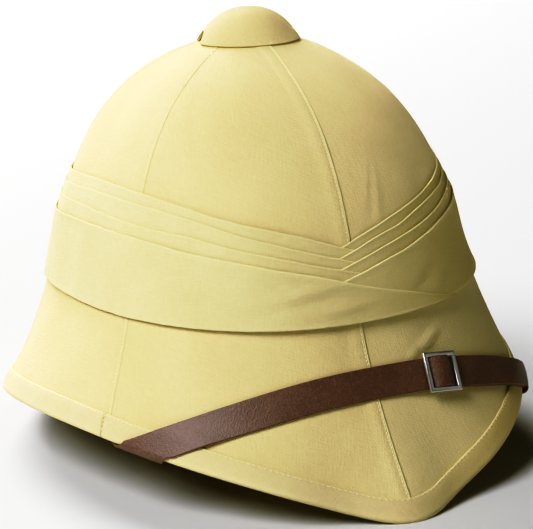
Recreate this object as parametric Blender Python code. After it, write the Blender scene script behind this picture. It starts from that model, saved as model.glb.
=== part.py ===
"""Cloth-covered sun helmet: hollow shell, bound brim, pleated band, ventilator cap and leather chin strap.

The helmet stands on its brim with the ground at z = 0. Its front is -Y and the wearer's right is -X.
Lengths in the tables and constants are millimetres, angles are degrees round the helmet from its front.
"""

import math

import bmesh
import bpy
import numpy as np
from mathutils import Matrix, Vector

MM = 0.001
GAP = 0.3  # clearance kept between neighbouring pieces
COLUMNS = 64  # divisions round the helmet
CROWN_BACK = 6.6  # the crown's axis lies this far behind the middle of the brim's length

# Shell, middle of its wall, from the vent hole at the top to the waist.
CROWN_ROWS = (
    # height, front, side, back
    (236.2, 8.0, 8.0, 8.0),
    (231.0, 26.0, 25.5, 27.0),
    (219.5, 48.5, 49.5, 61.5),
    (192.5, 83.0, 80.2, 94.0),
    (148.5, 107.5, 101.8, 116.5),
    (109.0, 116.6, 111.3, 130.0),
)
TURN_HEIGHTS = (61.4, 72.0, 57.2)  # where the crown turns out into the brim: front, side, back
TURN_REACHES = (134.4, 125.4, 145.5)
BRIM_EDGE = (
    # angle, reach, height
    (0, 174.6, 1.4),
    (10, 166.4, 7.0),
    (20, 163.5, 17.2),
    (30, 159.4, 25.8),
    (45, 151.0, 34.6),
    (60, 143.7, 40.0),
    (75, 139.9, 42.4),
    (90, 140.4, 41.9),
    (105, 145.1, 39.2),
    (120, 152.1, 33.9),
    (135, 159.4, 25.6),
    (150, 164.0, 14.5),
    (165, 163.4, 2.4),
    (180, 161.4, 1.5),
)
OVAL_POWER = 2.2  # 2 is a true ellipse, more is squarer
CROWN_WALL = 3.6
EDGE_WALL = 1.8
THIN_FROM = 5.2  # the profile's ring where the wall starts to thin
OUTER_RINGS = (0, 1, 1.45, 1.85, 2.25, 2.65, 3.05, 3.5, 4, 4.5, 5, 5.45, 5.85, 6.2, 6.5, 6.75, 7)
INNER_RINGS = (7, 6.5, 6.0, 5.4, 4.7, 3.9, 3.1, 2.2, 1.2, 0)

# Binding: a cloth strip folded over the brim's edge.
BINDING_WALL = 1.0
BINDING_TOP = 11.0  # width that shows above
BINDING_UNDER = 9.0

# Pleated band. Its pleats run down to the front from both sides and cross there.
PLEAT_LINE = (
    # angle back from the crossing, height of the top pleat's edge
    (-35, 110.0),
    (-13, 123.3),
    (0, 132.3),
    (13, 142.0),
    (30, 152.4),
    (49, 160.5),
    (65, 164.2),
    (85, 166.0),
    (125, 160.0),
    (180, 157.0),
)
LEFT_SHIFT = 6.0  # the pleats from the wearer's left cross this much past the front
PLEAT_DROP_FRONT = 17.5  # from the top pleat's edge to the wide band's edge
PLEAT_DROP_SIDE = 21.5
PLEAT_STEPS = (0.0, 0.33, 0.62, 1.0)  # shares of that drop at which the pleats' edges lie
PLEAT_HEIGHTS = (0.9, 1.5, 2.1, 2.7)  # how far each pleat stands out from the one under the band
BAND_BOTTOM = 94.5
BAND_BOTTOM_RISE = 7.5  # at the sides
BAND_BOTTOM_PAD = 2.2  # the folds' thickness at the bottom edge
LEFT_PAD = 1.8  # more of it at the wearer's left
WRAP_WALL = 1.1
WRAP_COLUMNS = range(-30, 6)  # the wrap's columns: from beside the back, round the right, past the front
WRAP_HEM = 0.8  # how far the wrap hangs below the folds

# Ventilator cap.
CAP_BASE = 232.9
CAP_RADIUS = 29.4
CAP_HEIGHT = 18.1
CAP_POWER = 2.4
CAP_WALL = 2.4
CAP_BOSS_RADIUS = 7.5
CAP_BOSS_BOTTOM = 239.0
CAP_SEGMENTS = 32
NOTCH_ANGLES = (-108.0, 72.0)
NOTCH_RADIUS = 6.5
NOTCH_DEPTH = 12.0
POST_RADIUS = 4.0
POST_TOP = 246.5
POST_HEAD_RADIUS = 13.0
POST_HEAD_TOP = 232.4
POST_HEAD_WALL = 2.0
POST_CHAMFER = 0.5
POST_SEGMENTS = 20

# Chin strap, worn over the peak. Its far end is doubled back through the slide.
STRAP_WIDTH = 17.2
STRAP_WALL = 1.4
STRAP_SLACK = 0.2  # more clearance for its flats over the rounded surface
STRAP_STEP = 11.0
STRAP_TURN_STEP = 2.3
STRAP_TURN = 11.0  # half the length of strap that goes round the brim's edge
STRAP_LINE = (
    # angle, height of the shell under the strap's middle
    (0, 63.8),
    (11, 62.9),
    (20, 60.1),
    (29, 55.4),
    (40, 47.5),
    (51, 37.1),
)
STUD_ANGLE = 84.0
STUD_DISTANCE = 62.0  # up from the edge, inside the shell
STRAP_END = 10.0  # from the stud's middle to the strap's end
SLIDE_ANGLE = 16.6
SLIDE_LENGTH = 22.2  # along the strap
SLIDE_HEIGHT = 21.8  # across the strap
SLIDE_BAR = 2.0
SLIDE_BOTTOM = 3.9
SLIDE_WALL = 1.8
CENTRE_BAR_BOTTOM = 2.3
CENTRE_BAR_WALL = 1.0
CENTRE_BAR_WIDTH = 1.8
STUD_PIN_RADIUS = 2.0
STUD_HEAD_RADIUS = 6.0
STUD_HEAD_WALL = 1.6
STUD_SEGMENTS = 16
STUD_HOLE_DEPTH = 14.0

KHAKI = (0.66, 0.56, 0.30)
LEATHER = (0.060, 0.024, 0.017)


def spline(knots, values, at, level_ends=False):
    """A smooth curve through values at the knots, read at the given places. It may be level at its ends."""
    knots = np.asarray(knots, float)
    values = np.asarray(values, float)
    flat = values.reshape(len(knots), -1)
    widths = np.diff(knots)
    slopes = np.diff(flat, axis=0) / widths[:, None]
    size = len(knots)
    system = np.eye(size)
    target = np.zeros_like(flat)
    for i in range(1, size - 1):
        system[i, i - 1 : i + 2] = widths[i - 1], 2 * (widths[i - 1] + widths[i]), widths[i]
        target[i] = 6 * (slopes[i] - slopes[i - 1])
    if level_ends:
        system[0, :2] = 2 * widths[0], widths[0]
        target[0] = 6 * slopes[0]
        system[-1, -2:] = widths[-1], 2 * widths[-1]
        target[-1] = -6 * slopes[-1]
    bends = np.linalg.solve(system, target)
    at = np.asarray(at, float)
    i = np.clip(np.searchsorted(knots, at) - 1, 0, size - 2)
    h = widths[i][..., None]
    t = (at - knots[i])[..., None]
    curve = (
        flat[i]
        + t * (slopes[i] - h * (2 * bends[i] + bends[i + 1]) / 6)
        + t**2 * bends[i] / 2
        + t**3 * (bends[i + 1] - bends[i]) / (6 * h)
    )
    return curve.reshape(at.shape + values.shape[1:])


def between(front, side, back, angle, power=2.0):
    """A value that goes smoothly from its front through its side to its back figure."""
    cosine = math.cos(math.radians(angle))
    return side + ((front if cosine > 0 else back) - side) * abs(cosine) ** power


def oval(front, side, back, angle, power):
    """Reach of an egg-shaped outline at an angle."""
    turn = math.radians(angle)
    along = abs(math.cos(turn)) / (front if math.cos(turn) > 0 else back)
    across = abs(math.sin(turn)) / side
    return (along**power + across**power) ** (-1 / power)


EDGE_TABLE = np.array(BRIM_EDGE, float)


def profile(angle, rings):
    """Middle of the shell's wall at one angle: (reach, height) and the outward normal at each ring."""
    angle = abs((angle + 180) % 360 - 180)
    rows = [
        (oval(front, side, back, angle, 2.0 if i < 2 else OVAL_POWER), height)
        for i, (height, front, side, back) in enumerate(CROWN_ROWS)
    ]
    rows.append((oval(*TURN_REACHES, angle, OVAL_POWER), between(*TURN_HEIGHTS, angle)))
    rows.append(spline(EDGE_TABLE[:, 0], EDGE_TABLE[:, 1:], angle, level_ends=True))
    knots = np.arange(len(rows))
    rings = np.asarray(rings, float)
    step = 0.01
    points = spline(knots, rows, rings)
    ahead = spline(knots, rows, np.minimum(rings + step, knots[-1]))
    behind = spline(knots, rows, np.maximum(rings - step, 0))
    tangent = (ahead - behind) / np.linalg.norm(ahead - behind, axis=-1, keepdims=True)
    normal = np.stack([-tangent[..., 1], tangent[..., 0]], axis=-1)
    return points, normal


LAST_RING = len(CROWN_ROWS) + 1
FINE_RINGS = np.linspace(0, LAST_RING, 281)


def wall_at(rings):
    """Thickness of the shell, which thins over the brim."""
    share = np.clip((np.asarray(rings, float) - THIN_FROM) / (LAST_RING - THIN_FROM), 0, 1)
    return CROWN_WALL + (EDGE_WALL - CROWN_WALL) * share


class Section:
    """The shell's cross-section at one angle, with distances measured up from the brim's edge."""

    def __init__(self, angle):
        self.points, self.normals = profile(angle, FINE_RINGS)
        steps = np.linalg.norm(np.diff(self.points, axis=0), axis=1)
        self.up = np.concatenate([np.cumsum(steps[::-1])[::-1], [0.0]])
        self.half = wall_at(FINE_RINGS) / 2

    def read(self, values, distance):
        return np.interp(distance, self.up[::-1], values[::-1])

    def at(self, distance, offset):
        """The point this far up from the edge, offset outwards from the shell's middle."""
        return np.array(
            [
                self.read(self.points[:, k], distance) + offset * self.read(self.normals[:, k], distance)
                for k in range(2)
            ]
        )

    def half_wall(self, distance):
        return self.read(self.half, distance)

    def distance_at_height(self, height):
        return np.interp(-height, -self.points[:, 1], self.up)

    def round_edge(self, swing, offset):
        """The point at an angle round the brim's edge: 90 above it, 0 beyond it, -90 below it."""
        normal = self.normals[-1]
        outwards = np.array([normal[1], -normal[0]])
        turn = math.radians(swing)
        return self.points[-1] + offset * (math.cos(turn) * outwards + math.sin(turn) * normal)


def in_space(angle, reach_height):
    """The world place, in millimetres, of a point of a cross-section."""
    turn = math.radians(angle)
    reach, height = reach_height
    return (reach * math.sin(turn), CROWN_BACK - reach * math.cos(turn), height)


def material(name, colour, roughness, metallic=0.0):
    made = bpy.data.materials.new(name)
    made.use_nodes = True
    shader = made.node_tree.nodes["Principled BSDF"]
    shader.inputs["Base Color"].default_value = (*colour, 1.0)
    shader.inputs["Roughness"].default_value = roughness
    shader.inputs["Metallic"].default_value = metallic
    return made


def add_object(name, points, faces, finish, smooth_below=35.0):
    """An object from points in millimetres."""
    mesh = bpy.data.meshes.new(name)
    mesh.from_pydata([tuple(MM * c for c in p) for p in points], [], faces)
    bm = bmesh.new()
    bm.from_mesh(mesh)
    bmesh.ops.remove_doubles(bm, verts=bm.verts, dist=0.00001)
    bmesh.ops.recalc_face_normals(bm, faces=bm.faces)
    bm.to_mesh(mesh)
    bm.free()
    mesh.shade_smooth()
    mesh.set_sharp_from_angle(angle=math.radians(smooth_below))
    mesh.materials.append(finish)
    made = bpy.data.objects.new(name, mesh)
    bpy.context.scene.collection.objects.link(made)
    return made


def swept(name, loops, finish, closed):
    """A solid through closed loops of points, each loop with the same number of points."""
    size = len(loops[0])
    points = [point for loop in loops for point in loop]
    faces = []
    for i in range(len(loops) if closed else len(loops) - 1):
        here, there = i * size, (i + 1) % len(loops) * size
        for k in range(size):
            after = (k + 1) % size
            faces.append((here + k, here + after, there + after, there + k))
    if not closed:
        faces.append(tuple(range(size)))
        faces.append(tuple(range(len(points) - size, len(points))))
    return add_object(name, points, faces, finish)


def turned(name, outline, finish, segments):
    """A solid turned round +Z from (radius, height) points; points on the axis close it."""
    loops = []
    for i in range(segments):
        turn = 2 * math.pi * i / segments
        loops.append([(r * math.cos(turn), r * math.sin(turn), z) for r, z in outline])
    return swept(name, loops, finish, closed=True)


def cut(target, cutter):
    """Takes the cutter's shape out of the target."""
    modifier = target.modifiers.new("cut " + cutter.name, "BOOLEAN")
    modifier.operation = "DIFFERENCE"
    modifier.object = cutter
    modifier.solver = "EXACT"
    cutter.hide_render = True
    cutter.display_type = "WIRE"


ANGLES = [360.0 * i / COLUMNS for i in range(COLUMNS)]
SECTIONS = {}


def section(angle):
    key = round(((angle + 180) % 360) - 180, 4)
    if key not in SECTIONS:
        SECTIONS[key] = Section(key)
    return SECTIONS[key]


# ---- shell and binding ----


def build_shell(finish):
    """Crown and brim in one hollow moulding, open below, with the vent hole at the top."""
    loops = []
    for angle in ANGLES:
        outer, outer_normal = profile(angle, OUTER_RINGS)
        inner, inner_normal = profile(angle, INNER_RINGS)
        outside = outer + outer_normal * wall_at(OUTER_RINGS)[:, None] / 2
        inside = inner - inner_normal * wall_at(INNER_RINGS)[:, None] / 2
        loops.append([in_space(angle, p) for p in np.concatenate([outside, inside])])
    return swept("helmet_shell", loops, finish, closed=True)


def build_binding(finish):
    """Cloth folded round the brim's edge. Where the helmet stands on it, it is pressed flat at z = 0."""
    loops = []
    for angle in ANGLES:
        cross = section(angle)
        near = GAP
        far = GAP + BINDING_WALL
        edge = cross.half_wall(0.0)

        def side(distance, offset, sign):
            return cross.at(distance, sign * (cross.half_wall(distance) + offset))

        loop = [side(BINDING_TOP, far, 1), side(0.0, far, 1)]
        loop += [cross.round_edge(swing, edge + far) for swing in (45, 0, -45)]
        loop += [side(0.0, far, -1), side(BINDING_UNDER, far, -1)]
        loop += [side(BINDING_UNDER, near, -1), side(0.0, near, -1)]
        loop += [cross.round_edge(0, edge + near)]
        loop += [side(0.0, near, 1), side(BINDING_TOP, near, 1)]
        loops.append([in_space(angle, (reach, max(height, 0.0))) for reach, height in loop])
    return swept("brim_binding", loops, finish, closed=True)


# ---- pleated band ----


def pleat_line(angle_back, share):
    """Height of a pleat's edge this far back from the crossing."""
    table = np.array(PLEAT_LINE, float)
    top = float(spline(table[:, 0], table[:, 1], min(max(angle_back, table[0, 0]), 180.0)))
    ease = min(max(angle_back / 45.0, 0.0), 1.0)
    drop = PLEAT_DROP_FRONT + (PLEAT_DROP_SIDE - PLEAT_DROP_FRONT) * ease
    return top - drop * share


def from_right(angle, share):
    """Height of the edge of a pleat that comes round the wearer's right, angles there being negative."""
    return pleat_line(-angle, share)


def from_left(angle, share):
    return pleat_line(angle + LEFT_SHIFT, share)


def band_line(angle, share):
    """The pleat's edge that shows: of the two that cross in front, the upper one."""
    if angle < -90:
        return from_right(angle, share)
    if angle > 90:
        return from_left(angle, share) if angle < 174 else from_right(-angle, share)
    return max(from_right(angle, share), from_left(angle, share))


def band_bottom(angle):
    return BAND_BOTTOM + BAND_BOTTOM_RISE * math.sin(math.radians(angle)) ** 2


BAND_ROWS = (0.0, 0.35, 0.7, 1.0)  # shares of the wide band's height, top to bottom


def under_wrap(angle):
    """Whether the wide wrap lies over the folds on their whole height here."""
    return 360.0 / COLUMNS * (WRAP_COLUMNS[0] - 0.5) < angle < -5


def folds_out(angle, share):
    """How far the wide part of the folds stands out, at a share of the way down it."""
    top = PLEAT_HEIGHTS[2] if under_wrap(angle) else PLEAT_HEIGHTS[3]
    bottom = BAND_BOTTOM_PAD + LEFT_PAD * max(math.sin(math.radians(angle)), 0.0) ** 2
    return top + (bottom - top) * share


def build_folds(finish):
    """The wound cloth: three pleats above a wide turn, each lower one standing out from the one above."""
    loops = []
    for step in ANGLES:
        angle = (step + 180) % 360 - 180
        cross = section(angle)
        bottom = band_bottom(angle)
        wide_top = band_line(angle, PLEAT_STEPS[3])
        outside = []
        for k in range(3):
            edge = band_line(angle, PLEAT_STEPS[k])
            below = band_line(angle, PLEAT_STEPS[k + 1])
            outside.append((edge, PLEAT_HEIGHTS[k]))
            outside.append((below + 0.25, PLEAT_HEIGHTS[k] - 0.1))
        for share in BAND_ROWS:
            outside.append((wide_top + (bottom - wide_top) * share, folds_out(angle, share)))
        top = outside[0][0]
        inside = [(top + (bottom - top) * share, 0.0) for share in (1.0, 0.8, 0.6, 0.4, 0.2, 0.0)]
        loop = []
        for height, out in outside + inside:
            distance = cross.distance_at_height(height)
            loop.append(cross.at(distance, cross.half_wall(distance) + GAP + out))
        loops.append([in_space(angle, p) for p in loop])
    return swept("puggaree_folds", loops, finish, closed=True)


def wrap_seat(angle, height):
    """How far out the wrap's inner face lies: clear of the folds, whose own rows it passes over."""
    wide_top = band_line(angle, PLEAT_STEPS[3])
    share = (wide_top - height) / (wide_top - band_bottom(angle))
    clear = GAP if under_wrap(angle) else GAP + 0.15
    return folds_out(angle, min(max(share, 0.0), 1.0)) + clear


def build_wrap(finish):
    """The last turn of the cloth: up from the wearer's left front, round the right and to the back."""
    loops = []
    for column in WRAP_COLUMNS:
        angle = 360.0 / COLUMNS * column
        cross = section(angle)
        top = from_right(angle, PLEAT_STEPS[3])
        bottom = band_bottom(angle)
        hem = bottom - WRAP_HEM
        heights = [top + (bottom - top) * share for share in BAND_ROWS]
        seats = [wrap_seat(angle, height) for height in heights]
        loop = []
        for height, seat, lift in zip(heights, seats, (0.7, 1.0, 1.0, 1.0)):
            loop.append((height, seat + WRAP_WALL * lift))
        loop.append((hem, seats[-1] + 0.5))
        loop.append((hem, 0.0))
        for height, seat in zip(heights[::-1], seats[::-1]):
            loop.append((height, seat))
        placed = []
        for height, out in loop:
            distance = cross.distance_at_height(height)
            placed.append(in_space(angle, cross.at(distance, cross.half_wall(distance) + GAP + out)))
        loops.append(placed)
    return swept("puggaree_wrap", loops, finish, closed=False)


# ---- ventilator cap ----

CROWN_TOP = Vector((0.0, CROWN_BACK * MM, 0.0))


def dome(radius):
    return CAP_BASE + CAP_HEIGHT * (1 - (radius / CAP_RADIUS) ** CAP_POWER)


def build_cap(finish):
    """Hollow dome with a boss under its middle, and an arched notch cut at each of two sides."""
    outside = [(CAP_RADIUS * share, dome(CAP_RADIUS * share)) for share in (0.0, 0.25, 0.5, 0.7, 0.87, 1.0)]
    lip = [(CAP_RADIUS - 0.3, CAP_BASE - 0.2), (CAP_RADIUS - CAP_WALL, CAP_BASE + 0.6)]
    hollow = [(r, dome(r) - CAP_WALL * 1.15) for r in (23.0, 17.0, CAP_BOSS_RADIUS)]
    boss = [
        (CAP_BOSS_RADIUS, CAP_BOSS_BOTTOM),
        (POST_RADIUS + GAP, CAP_BOSS_BOTTOM),
        (POST_RADIUS + GAP, POST_TOP + GAP),
        (0.0, POST_TOP + GAP),
    ]
    cap = turned("vent_cap", outside + lip + hollow + boss, finish, CAP_SEGMENTS)
    cap.location = CROWN_TOP
    for i, angle in enumerate(NOTCH_ANGLES):
        bpy.ops.mesh.primitive_cylinder_add(vertices=16, radius=NOTCH_RADIUS * MM, depth=NOTCH_DEPTH * MM)
        cutter = bpy.context.object
        cutter.name = f"notch_cutter_{i + 1}"
        turn = math.radians(angle)
        outwards = Vector((math.sin(turn), -math.cos(turn), 0))
        cutter.location = CROWN_TOP + outwards * (CAP_RADIUS * MM) + Vector((0, 0, (CAP_BASE - 0.5) * MM))
        cutter.rotation_euler = outwards.to_track_quat("Z", "Y").to_euler()
        cut(cap, cutter)
    return cap


def build_post(finish):
    """Plain bolt: a round head inside the crown and a shaft up into the cap's boss."""
    bottom = POST_HEAD_TOP - POST_HEAD_WALL
    outline = [
        (0.0, POST_TOP),
        (POST_RADIUS - POST_CHAMFER, POST_TOP),
        (POST_RADIUS, POST_TOP - POST_CHAMFER),
        (POST_RADIUS, POST_HEAD_TOP),
        (POST_HEAD_RADIUS, POST_HEAD_TOP),
        (POST_HEAD_RADIUS, bottom + POST_CHAMFER),
        (POST_HEAD_RADIUS - POST_CHAMFER, bottom),
        (0.0, bottom),
    ]
    post = turned("cap_post", outline, finish, POST_SEGMENTS)
    post.location = CROWN_TOP
    return post


# ---- chin strap ----


class StrapPath:
    """The strap's middle line over the peak, round the brim's edge on both sides and up to the studs."""

    def __init__(self):
        table = np.array(STRAP_LINE, float)
        self.arc = math.pi * (EDGE_WALL / 2 + BINDING_WALL + 2 * GAP + STRAP_SLACK + STRAP_WALL / 2)
        edge_angle = table[-1, 0]
        over = np.linspace(0, edge_angle, 40)
        mirrored = np.concatenate([-table[:0:-1, 0], table[:, 0]])
        heights = spline(mirrored, np.concatenate([table[:0:-1, 1], table[:, 1]]), over)
        risen = np.array([section(angle).distance_at_height(z) for angle, z in zip(over, heights)])
        risen += self.arc / 2
        # below the edge the line goes straight on, to the stud and a little past it
        share = np.linspace(0, 1.15, 30)[1:]
        inside = edge_angle + (STUD_ANGLE - edge_angle) * share
        sunk = self.arc / 2 - (STUD_DISTANCE + self.arc) * share
        angles = np.concatenate([over, inside])
        rises = np.concatenate([risen, sunk])
        self.angles = np.concatenate([-angles[:0:-1], angles])
        self.rises = np.concatenate([rises[:0:-1], rises])
        places = np.array([self.lay(angle, rise, 0.0) for angle, rise in zip(self.angles, self.rises)])
        steps = np.linalg.norm(np.diff(places, axis=0), axis=1)
        self.length = np.concatenate([[0], np.cumsum(steps)])
        self.length -= np.interp(0.0, self.angles, self.length)
        self.stud, self.slide, self.edge_place = np.interp(
            (STUD_ANGLE, SLIDE_ANGLE, edge_angle), self.angles, self.length
        )

    def stations(self, start, end):
        """Places along the strap, set close together where it turns round the brim's edge."""
        stops = [start]
        forward = 1 if end > start else -1
        while (end - stops[-1]) * forward > STRAP_STEP * 0.6:
            ahead = stops[-1] + forward * STRAP_STEP
            nearest = min(abs(abs(place) - self.edge_place) for place in (stops[-1], ahead))
            stops.append(stops[-1] + forward * (STRAP_TURN_STEP if nearest < STRAP_TURN else STRAP_STEP))
        return stops[:-1] + [end] if len(stops) > 1 else stops

    def seat(self, cross, distance, width_of_binding):
        """Half the shell and, near the edge, the binding that the strap passes over."""
        share = np.clip((width_of_binding + 12.0 - distance) / 11.0, 0, 1)
        return cross.half_wall(distance) + GAP + STRAP_SLACK + (BINDING_WALL + GAP) * share

    def lay(self, angle, rise, lift):
        """The place at an angle and a rise: positive above the brim, negative below it, and between round its edge."""
        cross = section(angle)
        if rise >= self.arc / 2:
            distance = rise - self.arc / 2
            return in_space(angle, cross.at(distance, self.seat(cross, distance, BINDING_TOP) + lift))
        if rise <= -self.arc / 2:
            distance = -rise - self.arc / 2
            return in_space(angle, cross.at(distance, -self.seat(cross, distance, BINDING_UNDER) - lift))
        swing = 90.0 * rise / (self.arc / 2)
        return in_space(angle, cross.round_edge(swing, self.seat(cross, 0.0, BINDING_TOP) + lift))

    def steer(self, along):
        """Angle and rise at a place along the strap, their change per millimetre along it and square across it."""
        places = (along - 1.0, along, along + 1.0)
        angles = np.interp(places, self.length, self.angles)
        rises = np.interp(places, self.length, self.rises)
        ahead = np.array([angles[2] - angles[0], rises[2] - rises[0]]) / 2
        middle = np.array([angles[1], rises[1]])
        by_angle = (np.subtract(self.lay(middle[0] + 0.5, middle[1], 0), self.lay(middle[0] - 0.5, middle[1], 0)))
        by_rise = (np.subtract(self.lay(middle[0], middle[1] + 0.5, 0), self.lay(middle[0], middle[1] - 0.5, 0)))
        forward = ahead[0] * by_angle + ahead[1] * by_rise
        aside = np.array([-(forward @ by_rise), forward @ by_angle])
        aside /= np.linalg.norm(aside[0] * by_angle + aside[1] * by_rise)
        return middle, ahead, aside

    def point(self, along, across, lift):
        """A place on the strap: along it, across it, and up from what it lies on."""
        middle, ahead, aside = self.steer(along)
        # near the brim's edge a cross line is slanted until it lies along that edge
        slant = float(np.clip((42.0 - abs(abs(along) - self.edge_place)) / 24.0, 0, 1))
        slide = -across * aside[1] / ahead[1] * slant if slant > 0 else 0.0
        angle, rise = middle + across * aside + slide * ahead
        return self.lay(angle, rise, lift)

    def frame(self, along, lift):
        """A frame there: X along the strap, Y across it, Z up from it."""
        middle = Vector(self.point(along, 0.0, lift))
        x = (Vector(self.point(along + 3, 0.0, lift)) - Vector(self.point(along - 3, 0.0, lift))).normalized()
        y = Vector(self.point(along, 5.0, lift)) - Vector(self.point(along, -5.0, lift))
        z = x.cross(y).normalized()
        if z.dot(Vector(self.point(along, 0.0, lift + 1.0)) - middle) < 0:
            z.negate()
        y = z.cross(x)
        placed = Matrix((x, y, z)).transposed().to_4x4()
        placed.translation = middle * MM
        return placed


STRAP_SHARES = (-0.5, -0.17, 0.17, 0.5)
HALF_STRAP = STRAP_WALL / 2
SECOND_LAYER = HALF_STRAP + STRAP_WALL + GAP
LOOP_MIDDLE = CENTRE_BAR_BOTTOM + CENTRE_BAR_WALL / 2
LOOP_RADIUS = LOOP_MIDDLE - HALF_STRAP
HUMP = LOOP_MIDDLE + LOOP_RADIUS + STRAP_WALL + GAP


def strap_course(path):
    """(place along the path, lift of the strap's middle), from its left end to its sewn end at the slide."""
    reach = SLIDE_LENGTH / 2
    start = -path.stud - STRAP_END
    course = [(place, HALF_STRAP) for place in path.stations(start, path.slide - reach - 14)]
    course += [
        (path.slide - reach - 7, (HALF_STRAP + SECOND_LAYER) / 2),
        (path.slide - reach - 1, SECOND_LAYER),
        (path.slide - reach + 3.4, SECOND_LAYER + 0.2),
        (path.slide - 5.0, HUMP - 1.5),
        (path.slide - 2.2, HUMP),
        (path.slide + 2.2, HUMP),
        (path.slide + 5.0, HUMP - 1.5),
        (path.slide + reach - 3.4, SECOND_LAYER + 0.2),
        (path.slide + reach + 1, SECOND_LAYER),
    ]
    turn_at = path.stud + STRAP_END - 1.0
    course += [(place, SECOND_LAYER) for place in path.stations(path.slide + reach + 5, turn_at)]
    turn_middle = (HALF_STRAP + SECOND_LAYER) / 2
    turn_radius = (SECOND_LAYER - HALF_STRAP) / 2
    for swing in (60, 0, -60):
        turn = math.radians(swing)
        course.append((turn_at + turn_radius * math.cos(turn), turn_middle + turn_radius * math.sin(turn)))
    course += [(place, HALF_STRAP) for place in path.stations(turn_at, path.slide + 4)]
    for swing in (-90, -126, -162, 162, 126, 90):
        turn = math.radians(swing)
        course.append((path.slide + LOOP_RADIUS * math.cos(turn), LOOP_MIDDLE + LOOP_RADIUS * math.sin(turn)))
    course.append((path.slide + 0.8, LOOP_MIDDLE + LOOP_RADIUS))
    return course


def build_strap(path, finish):
    """Flat leather strap: its section is carried along the course, square to it."""
    course = np.array(strap_course(path))
    ahead = np.roll(course, -1, axis=0)
    behind = np.roll(course, 1, axis=0)
    ahead[-1] = course[-1]
    behind[0] = course[0]
    tangent = ahead - behind
    tangent /= np.linalg.norm(tangent, axis=1, keepdims=True)
    square = np.stack([-tangent[:, 1], tangent[:, 0]], axis=1) * HALF_STRAP
    loops = []
    for middle, aside in zip(course, square):
        loop = []
        for face, shares in ((1, STRAP_SHARES), (-1, STRAP_SHARES[::-1])):
            along, lift = middle + face * aside
            loop += [path.point(along, share * STRAP_WIDTH, lift) for share in shares]
        loops.append(loop)
    return swept("chin_strap", loops, finish, closed=False)


def build_slide(path, finish):
    """Three-bar slide: a square frame over the strap and a lower middle bar that the strap's end is sewn round."""
    frame = path.frame(path.slide, 0.0)
    reach, rise, bar = SLIDE_LENGTH / 2, SLIDE_HEIGHT / 2, SLIDE_BAR
    boxes = [
        ((-reach, -rise, SLIDE_BOTTOM), (-reach + bar, rise, SLIDE_BOTTOM + SLIDE_WALL)),
        ((reach - bar, -rise, SLIDE_BOTTOM), (reach, rise, SLIDE_BOTTOM + SLIDE_WALL)),
        ((-reach, rise - bar, SLIDE_BOTTOM), (reach, rise, SLIDE_BOTTOM + SLIDE_WALL)),
        ((-reach, -rise, SLIDE_BOTTOM), (reach, -rise + bar, SLIDE_BOTTOM + SLIDE_WALL)),
    ]
    half = CENTRE_BAR_WIDTH / 2
    ends = rise - 0.3
    top = CENTRE_BAR_BOTTOM + CENTRE_BAR_WALL
    boxes.append(((-half, -ends, CENTRE_BAR_BOTTOM), (half, ends, top)))
    for sign in (-1, 1):
        low, high = sorted((sign * (rise - bar + 0.3), sign * ends))
        boxes.append(((-half, low, CENTRE_BAR_BOTTOM), (half, high, SLIDE_BOTTOM + SLIDE_WALL / 2)))
    slide = None
    for i, (low, high) in enumerate(boxes):
        corners = [(x, y, z) for x in (low[0], high[0]) for y in (low[1], high[1]) for z in (low[2], high[2])]
        sides = [(0, 1, 3, 2), (4, 6, 7, 5), (0, 4, 5, 1), (2, 3, 7, 6), (0, 2, 6, 4), (1, 5, 7, 3)]
        bar_object = add_object("slide_buckle" if i == 0 else f"slide_bar_{i}", corners, sides, finish)
        bar_object.matrix_world = frame
        if slide is None:
            slide = bar_object
            continue
        modifier = slide.modifiers.new(f"join bar {i}", "BOOLEAN")
        modifier.operation = "UNION"
        modifier.object = bar_object
        modifier.solver = "EXACT"
        bar_object.hide_render = True
        bar_object.display_type = "WIRE"
    bevel = slide.modifiers.new("rounded bars", "BEVEL")
    bevel.width = 0.4 * MM
    bevel.segments = 1
    bevel.limit_method = "ANGLE"
    return slide


def build_stud(name, path, side, layers, finish):
    """Plain stud: a pin through the strap's end and a flat head over it."""
    frame = path.frame(side * path.stud, 0.0)
    head = layers * (STRAP_WALL + GAP)
    outline = [
        (0.0, head + STUD_HEAD_WALL),
        (STUD_HEAD_RADIUS - 1.0, head + STUD_HEAD_WALL),
        (STUD_HEAD_RADIUS, head + STUD_HEAD_WALL / 2),
        (STUD_HEAD_RADIUS, head),
        (STUD_PIN_RADIUS, head),
        (STUD_PIN_RADIUS, 0.0),
        (0.0, 0.0),
    ]
    stud = turned(name, outline, finish, STUD_SEGMENTS)
    stud.matrix_world = frame
    return stud


def build_stud_hole(path, side):
    """Cutter for the hole that a stud's pin passes through."""
    bpy.ops.mesh.primitive_cylinder_add(
        vertices=STUD_SEGMENTS, radius=(STUD_PIN_RADIUS + GAP) * MM, depth=STUD_HOLE_DEPTH * MM
    )
    cutter = bpy.context.object
    cutter.name = "stud_hole_cutter_right" if side < 0 else "stud_hole_cutter_left"
    cutter.matrix_world = path.frame(side * path.stud, 0.0)
    return cutter


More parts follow.
